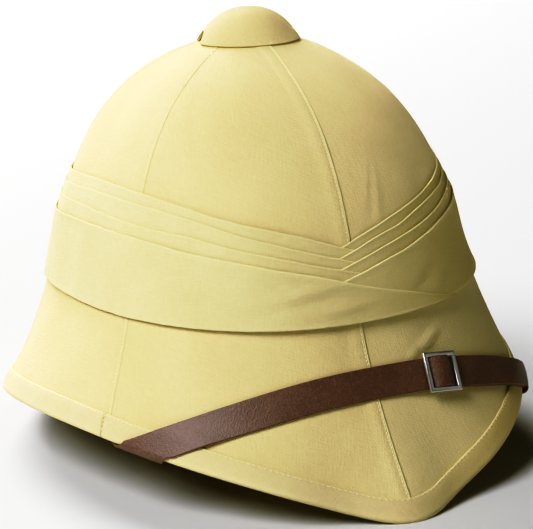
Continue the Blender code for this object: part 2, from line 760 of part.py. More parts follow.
def main():
    for old in list(bpy.data.objects):
        bpy.data.objects.remove(old)
    build_shell(material("cover_cloth", KHAKI, 0.9))
    build_binding(material("binding_cloth", KHAKI, 0.88))
    build_folds(material("puggaree_cloth", KHAKI, 0.9))
    build_wrap(material("puggaree_wrap_cloth", KHAKI, 0.9))
    build_cap(material("cap_cloth", KHAKI, 0.9))
    build_post(material("post_metal", (0.55, 0.54, 0.52), 0.4, 1.0))
    path = StrapPath()
    strap = build_strap(path, material("strap_leather", LEATHER, 0.4))
    build_slide(path, material("slide_metal", (0.72, 0.72, 0.73), 0.22, 1.0))
    for name, side, layers in (("strap_stud_right", -1, 1), ("strap_stud_left", 1, 2)):
        build_stud(name, path, side, layers, material(name + "_metal", (0.55, 0.54, 0.52), 0.4, 1.0))
        cut(strap, build_stud_hole(path, side))


main()
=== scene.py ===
import math

import bmesh
import bpy
import numpy as np
from mathutils import Matrix, Vector, noise


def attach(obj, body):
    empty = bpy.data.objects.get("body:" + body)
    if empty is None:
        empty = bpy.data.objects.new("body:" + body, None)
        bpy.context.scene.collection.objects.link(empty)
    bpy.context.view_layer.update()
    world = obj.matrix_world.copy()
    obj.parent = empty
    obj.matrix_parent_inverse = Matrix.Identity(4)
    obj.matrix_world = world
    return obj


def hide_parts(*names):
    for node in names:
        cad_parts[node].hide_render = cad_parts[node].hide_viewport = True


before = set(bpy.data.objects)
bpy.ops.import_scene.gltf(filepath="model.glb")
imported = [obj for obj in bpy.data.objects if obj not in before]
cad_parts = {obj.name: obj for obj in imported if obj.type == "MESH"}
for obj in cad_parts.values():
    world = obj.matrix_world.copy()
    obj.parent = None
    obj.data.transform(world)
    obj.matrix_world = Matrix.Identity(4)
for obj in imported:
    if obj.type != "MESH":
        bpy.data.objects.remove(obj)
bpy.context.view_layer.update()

bpy.ops.object.select_all(action="DESELECT")

# ---- Camera, floor and studio light ----
# A long lens looks down a little on the helmet's front, from the wearer's right. It stands on pale seamless
# paper, lit by a large soft window at the left of the picture, and four more lights touch up the crown,
# the slide, the far rim and the backdrop.

MM = 0.001
CROWN_BACK = 6.6  # the crown's axis lies this far behind the middle of the brim's length
CAMERA_TURN = math.radians(-25.98)
CAMERA_RISE = math.radians(14.0)
CAMERA_ROLL = math.radians(-2.63)
CAMERA_DISTANCE = 1288.5
CAMERA_ASIDE = 4.45
CAMERA_AIM = 101.65
LENS_IN_PIXELS = 2235.3
IMAGE_WIDTH = 533
NEAREST_SEEN = 0.05

backwards = Vector(
    (
        math.sin(CAMERA_TURN) * math.cos(CAMERA_RISE),
        -math.cos(CAMERA_TURN) * math.cos(CAMERA_RISE),
        math.sin(CAMERA_RISE),
    )
)
rightwards = Vector((math.cos(CAMERA_TURN), math.sin(CAMERA_TURN), 0.0))
upwards = backwards.cross(rightwards)
camera_place = Vector((0, CROWN_BACK, CAMERA_AIM)) + rightwards * CAMERA_ASIDE + backwards * CAMERA_DISTANCE
camera_right = rightwards * math.cos(CAMERA_ROLL) + upwards * math.sin(CAMERA_ROLL)
camera_up = upwards * math.cos(CAMERA_ROLL) - rightwards * math.sin(CAMERA_ROLL)
bpy.ops.object.camera_add()
camera = bpy.context.object
camera.name = "camera"
camera.data.lens = LENS_IN_PIXELS * camera.data.sensor_width / IMAGE_WIDTH
camera.data.clip_start = NEAREST_SEEN
camera_axes = Matrix((camera_right, camera_up, backwards)).transposed().to_4x4()
camera.matrix_world = Matrix.Translation(camera_place * MM) @ camera_axes
bpy.context.scene.camera = camera


def paint(code):
    """An sRGB hex colour as the linear colour that a shader takes."""
    parts = [int(code[i : i + 2], 16) / 255 for i in (1, 3, 5)]
    return (*[c / 12.92 if c <= 0.04045 else ((c + 0.055) / 1.055) ** 2.4 for c in parts], 1.0)


def new_finish(name):
    """A plain material and its main shader."""
    finish = bpy.data.materials.new(name)
    finish.use_nodes = True
    return finish, finish.node_tree.nodes["Principled BSDF"]


def set_node(finish, node, settings):
    """Gives a node its settings, by socket, or by name where a setting has no socket. A setting that comes
    from another node is linked."""
    for key, value in settings.items():
        if isinstance(value, bpy.types.NodeSocket):
            finish.node_tree.links.new(value, node.inputs[key])
        elif isinstance(key, int) or key in node.inputs:
            node.inputs[key].default_value = value
        else:
            setattr(node, key, value)


def add_node(finish, kind, output, settings=None):
    """Adds a node to a material, or to the studio's walls, and gives back one of its outputs."""
    node = finish.node_tree.nodes.new("ShaderNode" + kind)
    set_node(finish, node, settings or {})
    return node.outputs[output]


def pattern(finish, where, scale, detail, roughness=0.5):
    """A pattern of noise over a piece, from 0 to 1."""
    settings = {"Scale": scale, "Detail": detail, "Roughness": roughness, "Vector": where}
    return add_node(finish, "TexNoise", "Fac", settings)


def relief(finish, raised, strength, height):
    """Fine relief that follows a pattern. Its height is in metres."""
    return add_node(finish, "Bump", "Normal", {"Strength": strength, "Distance": height, "Height": raised})


FLOOR_SIZE = 14.0
bpy.ops.mesh.primitive_plane_add(size=FLOOR_SIZE)
floor = bpy.context.object
floor.name = "floor"
# Seamless background paper, uncoated: white and quite matt, with a faint tooth about 1 mm across.
floor_paper, shader = new_finish("floor_paper")
place = add_node(floor_paper, "TexCoord", "Object")
tooth = pattern(floor_paper, place, scale=900.0, detail=2.0)
normal = relief(floor_paper, tooth, strength=0.05, height=0.0001)
set_node(floor_paper, shader, {"Base Color": paint("#DADAD8"), "Roughness": 0.9, "Normal": normal})
floor.data.materials.append(floor_paper)

LIGHTS = (
    # name, place, what it points at, size, how wide its beam is in degrees, watts
    ("window", (-3.05, -1.09, 3.25), (0.0, 0.0, 0.12), 2.4, 180, 142.0),
    ("crown_beam", (1.55, -1.53, 1.45), (0.02, 0.0, 0.20), 0.12, 6, 0.014),
    ("slide_card", (1.25, -0.83, 0.60), (0.04, -0.13, 0.06), 0.40, 180, 0.35),
    ("rim_beam", (1.55, 1.53, 1.45), (0.02, 0.0, 0.20), 0.12, 6, 0.008),
    ("backdrop_light", (0.0, 3.40, 2.60), (0.0, 2.4, 0.0), 2.4, 180, 150.0),
)
for name, where, target, size, beam, watts in LIGHTS:
    bpy.ops.object.light_add(type="AREA", location=where)
    light = bpy.context.object
    light.name = name
    light.data.shape = "DISK"
    light.data.size = size
    light.data.spread = math.radians(beam)
    light.data.energy = watts
    light.rotation_euler = (Vector(target) - light.location).to_track_quat("-Z", "Y").to_euler()


def ramp(finish, value, first, last):
    """A colour between two paints. Each is given as the value where it is reached, and its code."""
    colour = add_node(finish, "ValToRGB", "Color", {"Fac": value})
    for element, (position, code) in zip(colour.node.color_ramp.elements, (first, last)):
        element.position = position
        element.color = paint(code)
    return colour


# The studio's walls: pale on the window's side, darker and warmer on the other.
PALE_SIDE = (-0.75, -0.10, 0.65)
WALL_LIGHT = 0.04
world = bpy.data.worlds.new("studio_walls")
world.use_nodes = True
walls = world.node_tree.nodes["Background"]
direction = add_node(world, "TexCoord", "Generated")
towards = add_node(world, "VectorMath", "Value", {"operation": "DOT_PRODUCT", 0: direction, 1: PALE_SIDE})
spread = add_node(world, "MapRange", "Result", {"From Min": -1.0, "Value": towards})
shades = ramp(world, spread, (0.25, "#5A5044"), (0.85, "#FFFFFF"))
set_node(world, walls, {"Strength": WALL_LIGHT, "Color": shades})
bpy.context.scene.world = world

# The picture's tone: shadows a little deeper, most in the blue, and the lightest tones drawn together.
TONE_POINTS = ((0.06, 0.042), (0.13, 0.107), (0.20, 0.180), (0.28, 0.276), (0.43, 0.478), (0.66, 0.635))
LIGHTEST_POINT = (1.0, 0.75)
BLUE_POINTS = ((0.05, 0.036), (0.12, 0.106), (0.25, 0.255))
ALL_COLOURS = 3
BLUE = 2
view = bpy.context.scene.view_settings
view.view_transform = "Standard"
view.look = "High Contrast"
view.use_curve_mapping = True
tone = view.curve_mapping
for x, y in TONE_POINTS:
    tone.curves[ALL_COLOURS].points.new(x, y)
tone.curves[ALL_COLOURS].points[-1].location = LIGHTEST_POINT
for x, y in BLUE_POINTS:
    tone.curves[BLUE].points.new(x, y)
tone.update()

# ---- Shell: moulded body ----
# The stiff body of pith or pulp board, crown and brim in one, hollow for the head.
# It is moulded over a block, and its inside is left plain. The cover is glued on its outside.

CROWN_ROWS = (
    # height, front, side, back: the middle of the wall, from the vent hole to the waist
    (236.2, 8.0, 8.0, 8.0),
    (231.0, 26.0, 25.5, 27.0),
    (219.5, 48.5, 49.5, 61.5),
    (192.5, 83.0, 80.2, 94.0),
    (148.5, 107.5, 101.8, 116.5),
    (109.0, 116.6, 111.3, 130.0),
)
TURN_HEIGHTS = (61.4, 72.0, 57.2)  # where the crown turns out into the brim: front, side, back
TURN_REACHES = (134.4, 125.4, 145.5)
BRIM_EDGE = (
    # angle, reach, height
    (0, 174.6, 1.4),
    (10, 166.4, 7.0),
    (20, 163.5, 17.2),
    (30, 159.4, 25.8),
    (45, 151.0, 34.6),
    (60, 143.7, 40.0),
    (75, 139.9, 42.4),
    (90, 140.4, 41.9),
    (105, 145.1, 39.2),
    (120, 152.1, 33.9),
    (135, 159.4, 25.6),
    (150, 164.0, 14.5),
    (165, 163.4, 2.4),
    (180, 161.4, 1.5),
)
ROUND_ROWS = 2  # the top two rows are plain ovals, and the others a little squarer
OVAL_POWER = 2.2
CROWN_WALL = 3.6
EDGE_WALL = 1.8
THIN_FROM = 5.2  # the ring from which the wall thins to the edge
COVER_WALL = 0.5
GLUE = 0.1
SHELL_COLUMNS = 144
SHELL_ROWS = 64
ROW_CROWDING = 0.9  # the rows lie a little closer together towards the brim


def spline(knots, values, at, level_ends=False):
    """A smooth curve through values at the knots, read at the given places. Its ends may be level."""
    knots = np.asarray(knots, float)
    values = np.asarray(values, float)
    flat = values.reshape(len(knots), -1)
    widths = np.diff(knots)
    slopes = np.diff(flat, axis=0) / widths[:, None]
    size = len(knots)
    system = np.eye(size)
    target = np.zeros_like(flat)
    for i in range(1, size - 1):
        system[i, i - 1 : i + 2] = widths[i - 1], 2 * (widths[i - 1] + widths[i]), widths[i]
        target[i] = 6 * (slopes[i] - slopes[i - 1])
    if level_ends:
        system[0, :2] = 2 * widths[0], widths[0]
        target[0] = 6 * slopes[0]
        system[-1, -2:] = widths[-1], 2 * widths[-1]
        target[-1] = -6 * slopes[-1]
    bends = np.linalg.solve(system, target)
    at = np.asarray(at, float)
    i = np.clip(np.searchsorted(knots, at) - 1, 0, size - 2)
    h = widths[i][..., None]
    t = (at - knots[i])[..., None]
    curve = (
        flat[i]
        + t * (slopes[i] - h * (2 * bends[i] + bends[i + 1]) / 6)
        + t**2 * bends[i] / 2
        + t**3 * (bends[i + 1] - bends[i]) / (6 * h)
    )
    return curve.reshape(at.shape + values.shape[1:])


def oval(front, side, back, angle, power):
    """Reach of an egg-shaped outline at an angle."""
    turn = math.radians(angle)
    along = abs(math.cos(turn)) / (front if math.cos(turn) > 0 else back)
    across = abs(math.sin(turn)) / side
    return (along**power + across**power) ** (-1 / power)


EDGE_TABLE = np.array(BRIM_EDGE, float)
LAST_RING = len(CROWN_ROWS) + 1
FINE_RINGS = np.linspace(0, LAST_RING, 281)
RING_STEP = 0.01  # how far to each side a ring's slope is taken


def profile(angle, rings):
    """Middle of the shell's wall at one angle: (reach, height) and the outward normal at each ring."""
    angle = abs((angle + 180) % 360 - 180)
    rows = [
        (oval(front, side, back, angle, 2.0 if i < ROUND_ROWS else OVAL_POWER), height)
        for i, (height, front, side, back) in enumerate(CROWN_ROWS)
    ]
    cosine = math.cos(math.radians(angle))
    front, side, back = TURN_HEIGHTS
    turn_height = side + ((front if cosine > 0 else back) - side) * cosine**2
    rows.append((oval(*TURN_REACHES, angle, OVAL_POWER), turn_height))
    rows.append(spline(EDGE_TABLE[:, 0], EDGE_TABLE[:, 1:], angle, level_ends=True))
    knots = np.arange(len(rows))
    points = spline(knots, rows, rings)
    ahead = spline(knots, rows, np.minimum(rings + RING_STEP, knots[-1]))
    behind = spline(knots, rows, np.maximum(rings - RING_STEP, 0))
    tangent = (ahead - behind) / np.linalg.norm(ahead - behind, axis=-1, keepdims=True)
    normal = np.stack([-tangent[..., 1], tangent[..., 0]], axis=-1)
    return points, normal


def lengths_along(points):
    """How far each point lies along the line through them."""
    return np.concatenate([[0.0], np.cumsum(np.linalg.norm(np.diff(points, axis=0), axis=1))])


class Section:
    """The shell's cross-section at one angle, with distances measured up from the brim's edge."""

    def __init__(self, points, normals):
        self.points, self.normals = points, normals
        self.up = lengths_along(points[::-1])[::-1]
        share = np.clip((FINE_RINGS - THIN_FROM) / (LAST_RING - THIN_FROM), 0, 1)
        self.half = (CROWN_WALL + (EDGE_WALL - CROWN_WALL) * share) / 2

    def read(self, values, distance):
        """One of its rows of values, this far up from the edge."""
        return np.interp(distance, self.up[::-1], values[::-1])

    def at(self, distance, offset):
        """The (reach, height) this far up from the edge, offset outwards from the shell's middle."""
        reach = self.read(self.points[:, 0], distance) + offset * self.read(self.normals[:, 0], distance)
        height = self.read(self.points[:, 1], distance) + offset * self.read(self.normals[:, 1], distance)
        return np.array([reach, height])

    def half_wall(self, distance):
        """Half the wall's thickness this far up."""
        return self.read(self.half, distance)

    def distance_at_height(self, height):
        """How far up from the edge a height is reached."""
        return np.interp(-height, -self.points[:, 1], self.up)

    def round_edge(self, swing, offset):
        """The point at an angle round the brim's edge: 90 above it, 0 beyond it, -90 below it."""
        normal = self.normals[-1]
        outwards = np.array([normal[1], -normal[0]])
        turn = math.radians(swing)
        return self.points[-1] + offset * (math.cos(turn) * outwards + math.sin(turn) * normal)


SECTION_STEP = 0.5
PROFILES = [profile(step * SECTION_STEP, FINE_RINGS) for step in range(int(180 / SECTION_STEP) + 1)]
SECTIONS = {}


def section(angle):
    """The cross-section at any angle, between the two nearest that were worked out."""
    key = round(abs((angle + 180) % 360 - 180), 3)
    if key not in SECTIONS:
        step = min(int(key / SECTION_STEP), len(PROFILES) - 2)
        share = key / SECTION_STEP - step
        (points, normals), (next_points, next_normals) = PROFILES[step : step + 2]
        SECTIONS[key] = Section(
            points + (next_points - points) * share, normals + (next_normals - normals) * share
        )
    return SECTIONS[key]


def in_space(angle, reach_height):
    """The place, in millimetres, of a point of a cross-section."""
    turn = math.radians(angle)
    reach, height = reach_height
    return (reach * math.sin(turn), CROWN_BACK - reach * math.cos(turn), height)


THREADS_PER_MM = 0.01  # a piece's UV map: one unit is 100 mm of cloth or leather


def closed_piece(mesh, merge_within, capped=False):
    """Merges a mesh's doubled points, turns its faces outwards and puts it in the scene."""
    bm = bmesh.new()
    bm.from_mesh(mesh)
    bmesh.ops.remove_doubles(bm, verts=bm.verts, dist=merge_within)
    if capped:
        bmesh.ops.holes_fill(bm, edges=[edge for edge in bm.edges if edge.is_boundary], sides=0)
    bmesh.ops.recalc_face_normals(bm, faces=bm.faces)
    bm.to_mesh(mesh)
    bm.free()
    mesh.shade_smooth()
    piece = bpy.data.objects.new(mesh.name, mesh)
    bpy.context.scene.collection.objects.link(piece)
    return piece


def grid_piece(name, grid, threads=None, marks=None, capped=False):
    """A mesh over a grid of points in millimetres. Points that coincide are merged, so it may close on
    itself. The threads give each point's place on the flat cloth, and a finish reads the marks."""
    rows, columns = len(grid), len(grid[0])
    points = [tuple(MM * float(c) for c in point) for row in grid for point in row]
    faces = [
        (i * columns + k, i * columns + k + 1, (i + 1) * columns + k + 1, (i + 1) * columns + k)
        for i in range(rows - 1)
        for k in range(columns - 1)
    ]
    mesh = bpy.data.meshes.new(name)
    mesh.from_pydata(points, [], faces)
    if threads is not None:
        layer = mesh.uv_layers.new(name="threads")
        flat = [(u * THREADS_PER_MM, v * THREADS_PER_MM) for row in threads for u, v in row]
        for loop in mesh.loops:
            layer.data[loop.index].uv = flat[loop.vertex_index]
    for mark, values in (marks or {}).items():
        layer = mesh.attributes.new(mark, "FLOAT", "POINT")
        layer.data.foreach_set("value", np.array(values, np.float32).ravel())
    return closed_piece(mesh, 0.002 * MM, capped)


rows_down = np.linspace(0, 1, SHELL_ROWS) ** ROW_CROWDING
grid = []
for angle in np.linspace(-180, 180, SHELL_COLUMNS + 1):
    cross = section(angle)
    lengths = cross.up[0] * (1 - rows_down)
    outside = [cross.at(d, cross.half_wall(d) - COVER_WALL - GLUE) for d in lengths]
    inside = [cross.at(d, -cross.half_wall(d)) for d in lengths[::-1]]
    grid.append([in_space(angle, p) for p in outside + inside + outside[:1]])
moulded_shell = grid_piece("moulded_shell", grid)


def reckoned(finish, operation, *terms):
    """A sum or a product. Each term is a number or another node's output."""
    return add_node(finish, "Math", "Value", {"operation": operation, **dict(enumerate(terms))})


# Pulp board, pressed in a mould and left bare inside: pale tan, matt, with flecks about 1.4 mm long in a
# felted surface, and paler and darker clouds about 26 mm across.
pulp_board, shader = new_finish("pulp_board")
place = add_node(pulp_board, "TexCoord", "Object")
flecks = pattern(pulp_board, place, scale=700.0, detail=4.0, roughness=0.7)
clouds = pattern(pulp_board, place, scale=38.0, detail=3.0)
mottle = reckoned(pulp_board, "MULTIPLY_ADD", flecks, 0.5, clouds)
tan = ramp(pulp_board, mottle, (0.5, "#A48C5E"), (0.95, "#C9B384"))
normal = relief(pulp_board, flecks, strength=0.4, height=0.0004)
set_node(pulp_board, shader, {"Base Color": tan, "Roughness": 0.88, "Normal": normal})
moulded_shell.data.materials.append(pulp_board)
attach(moulded_shell, "root")
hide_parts("helmet_shell")

# ---- Cover: six gores of khaki drill ----
# Cotton drill, cut in six gores that run from the vent to the brim's edge. Each gore's edge is turned
# under and lapped over the next with one row of stitches, and the whole is glued over the moulded body.

GORE_SEAMS = (-180.0, -122.0, -62.0, 0.0, 62.0, 122.0, 180.0)
# how far each seam's lapped edge stands out, how dark its crease is painted (partly dirt, partly painted
# shade) and how pale its edge is painted (partly wear, partly painted highlight): most in front
GORE_LAPS = (0.2, 0.2, 0.22, 0.55, 0.2, 0.2, 0.2)
GORE_SHADES = (0.25, 0.25, 0.25, 0.4, 0.25, 0.25, 0.25)
GORE_WEAR_AND_HIGHLIGHTS = (0.3, 0.3, 0.3, 0.9, 0.3, 0.3, 0.3)
LAP_WIDTH = 6.5  # how far the gores overlap
LAP_RISE_FROM = 2.5  # beyond the overlap, where the cloth starts to rise, and over how far
LAP_RISE = 3.0
LAP_FOLD = 0.35  # the rounding of the turned edge
STITCH_FROM_LAP = 1.7
STITCH_DIMPLE = 0.45  # share of the lap's height that the stitches draw in, and how wide
STITCH_DIMPLE_WIDTH = 0.55
CREASE_AFTER = 0.35  # how far a seam's crease spreads on its two sides
CREASE_BEFORE = 0.3
# where a seam's paler edge lies and how wide it is: partly wear, partly painted highlight
WEAR_AND_HIGHLIGHT_FROM_SEAM = 0.8
WEAR_AND_HIGHLIGHT_WIDTH = 0.6
NEAR_SEAM = (0.12, 0.35, 0.7, 1.1, 1.6, 2.2, 3.0, 4.2, 5.6, 7.4)  # degrees from a seam where columns lie
GORE_COLUMNS = (17, 17, 48, 48, 17, 17)  # how many lie between: more in the two gores in front
COVER_ROWS = 140


def smooth_share(value):
    """A share from 0 to 1 that starts and ends gently."""
    share = min(max(value, 0.0), 1.0)
    return share * share * (3 - 2 * share)


def bell(away, width):
    """1 in the middle, and almost nothing at twice the width away."""
    return math.exp(-((away / width) ** 2))


def lap(x, height):
    """How far the cover stands out beside a seam: x millimetres past it, the lapped gore being at x < 0."""
    if x >= 0:
        return 0.0
    rise = smooth_share((x + LAP_WIDTH + LAP_RISE_FROM) / LAP_RISE)
    edge = min(1.0, -x / LAP_FOLD) ** 0.5
    return height * rise * edge - STITCH_DIMPLE * height * bell(x + STITCH_FROM_LAP, STITCH_DIMPLE_WIDTH)


def from_seam(angle, reach, gore):
    """Millimetres from the seam at each side of this gore."""
    to_mm = math.radians(1) * reach
    return (angle - GORE_SEAMS[gore]) * to_mm, (angle - GORE_SEAMS[gore + 1]) * to_mm


DENTS = (
    # angle, distance up, half width across, half width up, slant, depth
    (18.0, 73.5, 9.0, 2.6, 0.0, -0.9),
    (19.0, 79.5, 8.0, 3.4, 0.0, 0.6),
    (20.5, 68.5, 7.0, 2.6, 0.0, 0.45),
    (11.9, 74.0, 2.6, 2.0, 0.0, -0.7),
    (8.8, 170.0, 2.4, 14.0, 0.70, -0.36),
    (10.2, 166.0, 2.2, 13.0, 0.50, 0.22),
    (11.7, 160.0, 2.9, 16.0, 0.29, -0.40),
    (14.5, 160.0, 3.6, 18.0, 0.29, 0.22),
    (-48.0, 176.0, 6.0, 16.0, -0.3, 0.35),
)
CROWN_DEGREE = 2.1  # millimetres to a degree round the crown
WAVE = 26.0  # the cloth's waves over the body: their length, and how far large and small ones stand out
WAVE_HEIGHT = 0.30
SMALL_WAVE_HEIGHT = 0.10
FLAT_UP_TO = 8.0  # the cloth lies flat up to here, under the binding, and is free this much further up
FREE_OVER = 12.0
FREE_REACH = 60.0  # from this reach in to the vent it lies flatter again


def slack(angle, distance, reach):
    """The cloth's small unevenness over the body, and the few dents that show."""
    place = Vector(in_space(angle, section(round(angle)).at(distance, 0.0))) / WAVE
    out = WAVE_HEIGHT * noise.noise(place)
    out += SMALL_WAVE_HEIGHT * noise.noise(place * 3.1 + Vector((7.3, 1.1, 4.9)))
    for at, up, wide, high, slant, depth in DENTS:
        across = (angle - at) * CROWN_DEGREE - slant * (distance - up)
        out -= depth * bell(across, wide) * bell(distance - up, high)
    return out * min(max((distance - FLAT_UP_TO) / FREE_OVER, 0.0), 1.0) * min(1.0, reach / FREE_REACH)


grid, threads, seam_marks, seam_wear_and_highlights = [], [], [], []
for gore in range(6):
    start, end = GORE_SEAMS[gore : gore + 2]
    middle = (start + end) / 2
    near = [start] + [start + d for d in NEAR_SEAM]
    far = [end - d for d in NEAR_SEAM[::-1]] + [end]
    columns = near + list(np.linspace(near[-1], far[0], GORE_COLUMNS[gore])[1:-1]) + far
    for angle in columns:
        cross = section(angle)
        line, flat, shade, rub_and_highlight = [], [], [], []
        for down in np.linspace(0, 1, COVER_ROWS):
            distance = cross.up[0] * (1 - down)
            reach = cross.at(distance, 0.0)[0]
            after, before = from_seam(angle, reach, gore)
            out = lap(before, GORE_LAPS[gore + 1]) + slack(angle, distance, reach)
            line.append(in_space(angle, cross.at(distance, cross.half_wall(distance) + out)))
            flat.append(((angle - middle) * math.radians(reach), distance))
            # a seam's crease is painted darker: partly dirt, partly painted shade
            crease = GORE_SHADES[gore] * bell(after, CREASE_AFTER)
            shade.append(max(crease, GORE_SHADES[gore + 1] * bell(before, CREASE_BEFORE)))
            # the lapped edge is painted paler: partly wear, partly painted highlight
            rub_and_highlight.append(GORE_WEAR_AND_HIGHLIGHTS[gore + 1] * bell(before + WEAR_AND_HIGHLIGHT_FROM_SEAM, WEAR_AND_HIGHLIGHT_WIDTH))
        grid.append(line)
        threads.append(flat)
        seam_marks.append(shade)
        seam_wear_and_highlights.append(rub_and_highlight)
cover = grid_piece("cover_cloth", grid, threads, {"crease": seam_marks, "wear_and_highlight": seam_wear_and_highlights})


def select_only(piece):
    """Selects this piece alone, for the operator that comes next."""
    bpy.ops.object.select_all(action="DESELECT")
    bpy.context.view_layer.objects.active = piece
    piece.select_set(True)


def apply_modifier(piece, kind, settings):
    """Shapes a piece with one modifier, for good."""
    select_only(piece)
    modifier = piece.modifiers.new(kind.lower(), kind)
    for key, value in settings.items():
        setattr(modifier, key, value)
    bpy.ops.object.modifier_apply(modifier=modifier.name)
    piece.select_set(False)


def thicken(piece, wall):
    """Gives a sheet its thickness, inwards."""
    apply_modifier(piece, "SOLIDIFY", {"thickness": wall * MM, "offset": -1.0})


thicken(cover, COVER_WALL)

DRILL_THREAD = 1.1  # real drill has about 20 threads to the centimetre; drawn coarser, so that it shows
WEAVE_SHADE = 0.03  # how much of a thread's place in the weave shows in its colour, and in the relief
WEAVE_RELIEF = 0.10
WEAVE_HEIGHT = 0.00023  # metres
SIDE_SHADE_SPAN = (-0.045, 0.085)  # metres towards the wearer's left, over which painted shade deepens the cloth's colour


def blended(finish, share, first, second, way="MIX"):
    """Two colours mixed by a share. Each is a paint or another node's output."""
    colours = {0: share, 6: first, 7: second}
    return add_node(finish, "Mix", 2, {"data_type": "RGBA", "blend_type": way, **colours})


def khaki_cloth(name, light, dark, thread, streaks, side_shade=0.0):
    """Woven cotton, dyed khaki in the thread: each thread takes the dye a little differently, and it is matt.
    It is paler where a fold or an edge is marked, partly wear and partly painted highlight, and darker in a
    seam's crease, partly dirt and partly painted shade. Larger clouds of dye are some 45 mm across. Some
    pieces are painted darker and deeper in colour towards the wearer's left, as painted shade on the side
    away from the window."""
    finish, shader = new_finish(name)
    flat = add_node(finish, "UVMap", "UV", {"uv_map": "threads"})
    place = add_node(finish, "TexCoord", "Object")
    # a wave texture's sine repeats each pi / 10 of its place, and a pair of threads is one repeat
    repeat = math.pi / 10 / (2 * thread * THREADS_PER_MM)
    yarn = {"Scale": repeat, "Distortion": 3.0, "Detail": 2.0, "Detail Scale": 0.6, "Vector": flat}
    waves = []
    for direction in ("X", "Y"):
        wave = add_node(finish, "TexWave", "Fac", {"bands_direction": direction, **yarn})
        waves.append(reckoned(finish, "MULTIPLY_ADD", wave, 2.0, -1.0))
    crossing = reckoned(finish, "MULTIPLY", *waves)
    # slubs: thicker places in a thread, as wide as it and about 7 mm long
    slubs = []
    for per_mm in ((1.0 / thread, 0.15, 1.0), (0.15, 1.0 / thread, 1.0)):
        scaled = add_node(finish, "Mapping", "Vector", {"Scale": [100 * c for c in per_mm], "Vector": flat})
        slubs.append(pattern(finish, scaled, scale=1.0, detail=2.0, roughness=0.6))
    both = reckoned(finish, "ADD", *slubs)
    clouds = pattern(finish, place, scale=22.0, detail=4.0, roughness=0.55)
    faint = reckoned(finish, "MULTIPLY", clouds, 0.5)
    tone = reckoned(finish, "MULTIPLY_ADD", both, streaks, faint)
    woven = reckoned(finish, "MULTIPLY_ADD", crossing, WEAVE_SHADE, tone)
    # the tone's middle is at streaks + 0.25
    dyed = ramp(finish, woven, (streaks - 0.12, dark), (streaks + 0.50, light))
    # painted shade: towards the wearer's left, away from the window, the colour is multiplied darker and
    # deeper
    start, end = SIDE_SHADE_SPAN
    side_shade_range = {"interpolation_type": "SMOOTHSTEP", "From Min": start, "From Max": end, "To Max": side_shade}
    aside = add_node(finish, "SeparateXYZ", "X", {"Vector": place})
    left = add_node(finish, "MapRange", "Result", {**side_shade_range, "Value": aside})
    deeper = blended(finish, left, dyed, paint("#E3D6B4"), "MULTIPLY")
    # paler on folds and edges: partly wear, partly painted highlight
    wear_and_highlight = add_node(finish, "Attribute", "Fac", {"attribute_name": "wear_and_highlight"})
    paler = blended(finish, wear_and_highlight, deeper, paint("#F0E7B6"))
    # painted darker in a seam's crease: partly dirt, partly painted shade
    crease = add_node(finish, "Attribute", "Fac", {"attribute_name": "crease"})
    creased = blended(finish, reckoned(finish, "MULTIPLY", crease, 0.75), paler, paint("#75653A"))
    raised = reckoned(finish, "MULTIPLY_ADD", crossing, WEAVE_RELIEF, both)
    normal = relief(finish, raised, strength=0.9, height=WEAVE_HEIGHT)
    matt = {"Roughness": 0.92, "Specular IOR Level": 0.25}
    fibres = {"Sheen Weight": 0.05, "Sheen Roughness": 0.5, "Sheen Tint": paint("#FFF6C8")}
    set_node(finish, shader, {**matt, **fibres, "Base Color": creased, "Normal": normal})
    return finish


khaki_drill = khaki_cloth("khaki_drill", "#E2D5A7", "#D1C08F", DRILL_THREAD, 0.28)
cover.data.materials.append(khaki_drill)
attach(cover, "root")
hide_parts("helmet_shell")

# ---- Seam stitches ----
# Cotton thread a little paler than the drill, one row of lockstitch through each lapped edge.
# The needle draws the thread down, so each stitch is a short bead between two holes.

SEAM_STITCH = 2.1
SEAM_STITCH_SHOWS = 0.84  # the share of its length between its two holes
SEAM_THREAD = 0.33
SEAM_SUNK = 0.12
SEAM_FROM_VENT = 20.0  # the row runs from under the cap to the binding
SEAM_TO_EDGE = 12.0
BEAD = ((-1.0, 0.0), (-0.82, 0.62), (-0.3, 1.0), (0.3, 1.0), (0.82, 0.62), (1.0, 0.0))
BEAD_SIDES = 6
BEAD_DIP = 1.1


def bead(along, up, half_length, radius):
    """Rings of a stitch round its own middle: a rounded bead that dips at both ends."""
    side = along.cross(up).normalized()
    turns = [math.radians(360 / BEAD_SIDES * k) for k in range(BEAD_SIDES)]
    rings = []
    for share, fat in BEAD:
        middle = along * (half_length * share) - up * (radius * BEAD_DIP * share * share)
        rings.append([middle + (side * math.cos(a) + up * math.sin(a)) * (radius * fat) for a in turns])
    return rings


def stitch_piece(name, seats, length, radius):
    """All stitches of a row in one mesh: each seat is a place, its direction and what is up there."""
    points, faces = [], []
    for place, along, up in seats:
        rings = bead(along, up, length / 2, radius)
        first = len(points)
        points += [tuple((place + p) * MM) for ring in rings for p in ring]
        for i in range(len(rings) - 1):
            a = first + i * BEAD_SIDES
            b = a + BEAD_SIDES
            for k in range(BEAD_SIDES):
                after = (k + 1) % BEAD_SIDES
                faces.append((a + k, a + after, b + after, b + k))
    mesh = bpy.data.meshes.new(name)
    mesh.from_pydata(points, [], faces)
    return closed_piece(mesh, 0.001 * MM)


def on_cover(angle, distance, lift):
    """The place at an angle, this far up from the edge and lifted off the cover."""
    cross = section(angle)
    return Vector(in_space(angle, cross.at(distance, cross.half_wall(distance) + lift)))


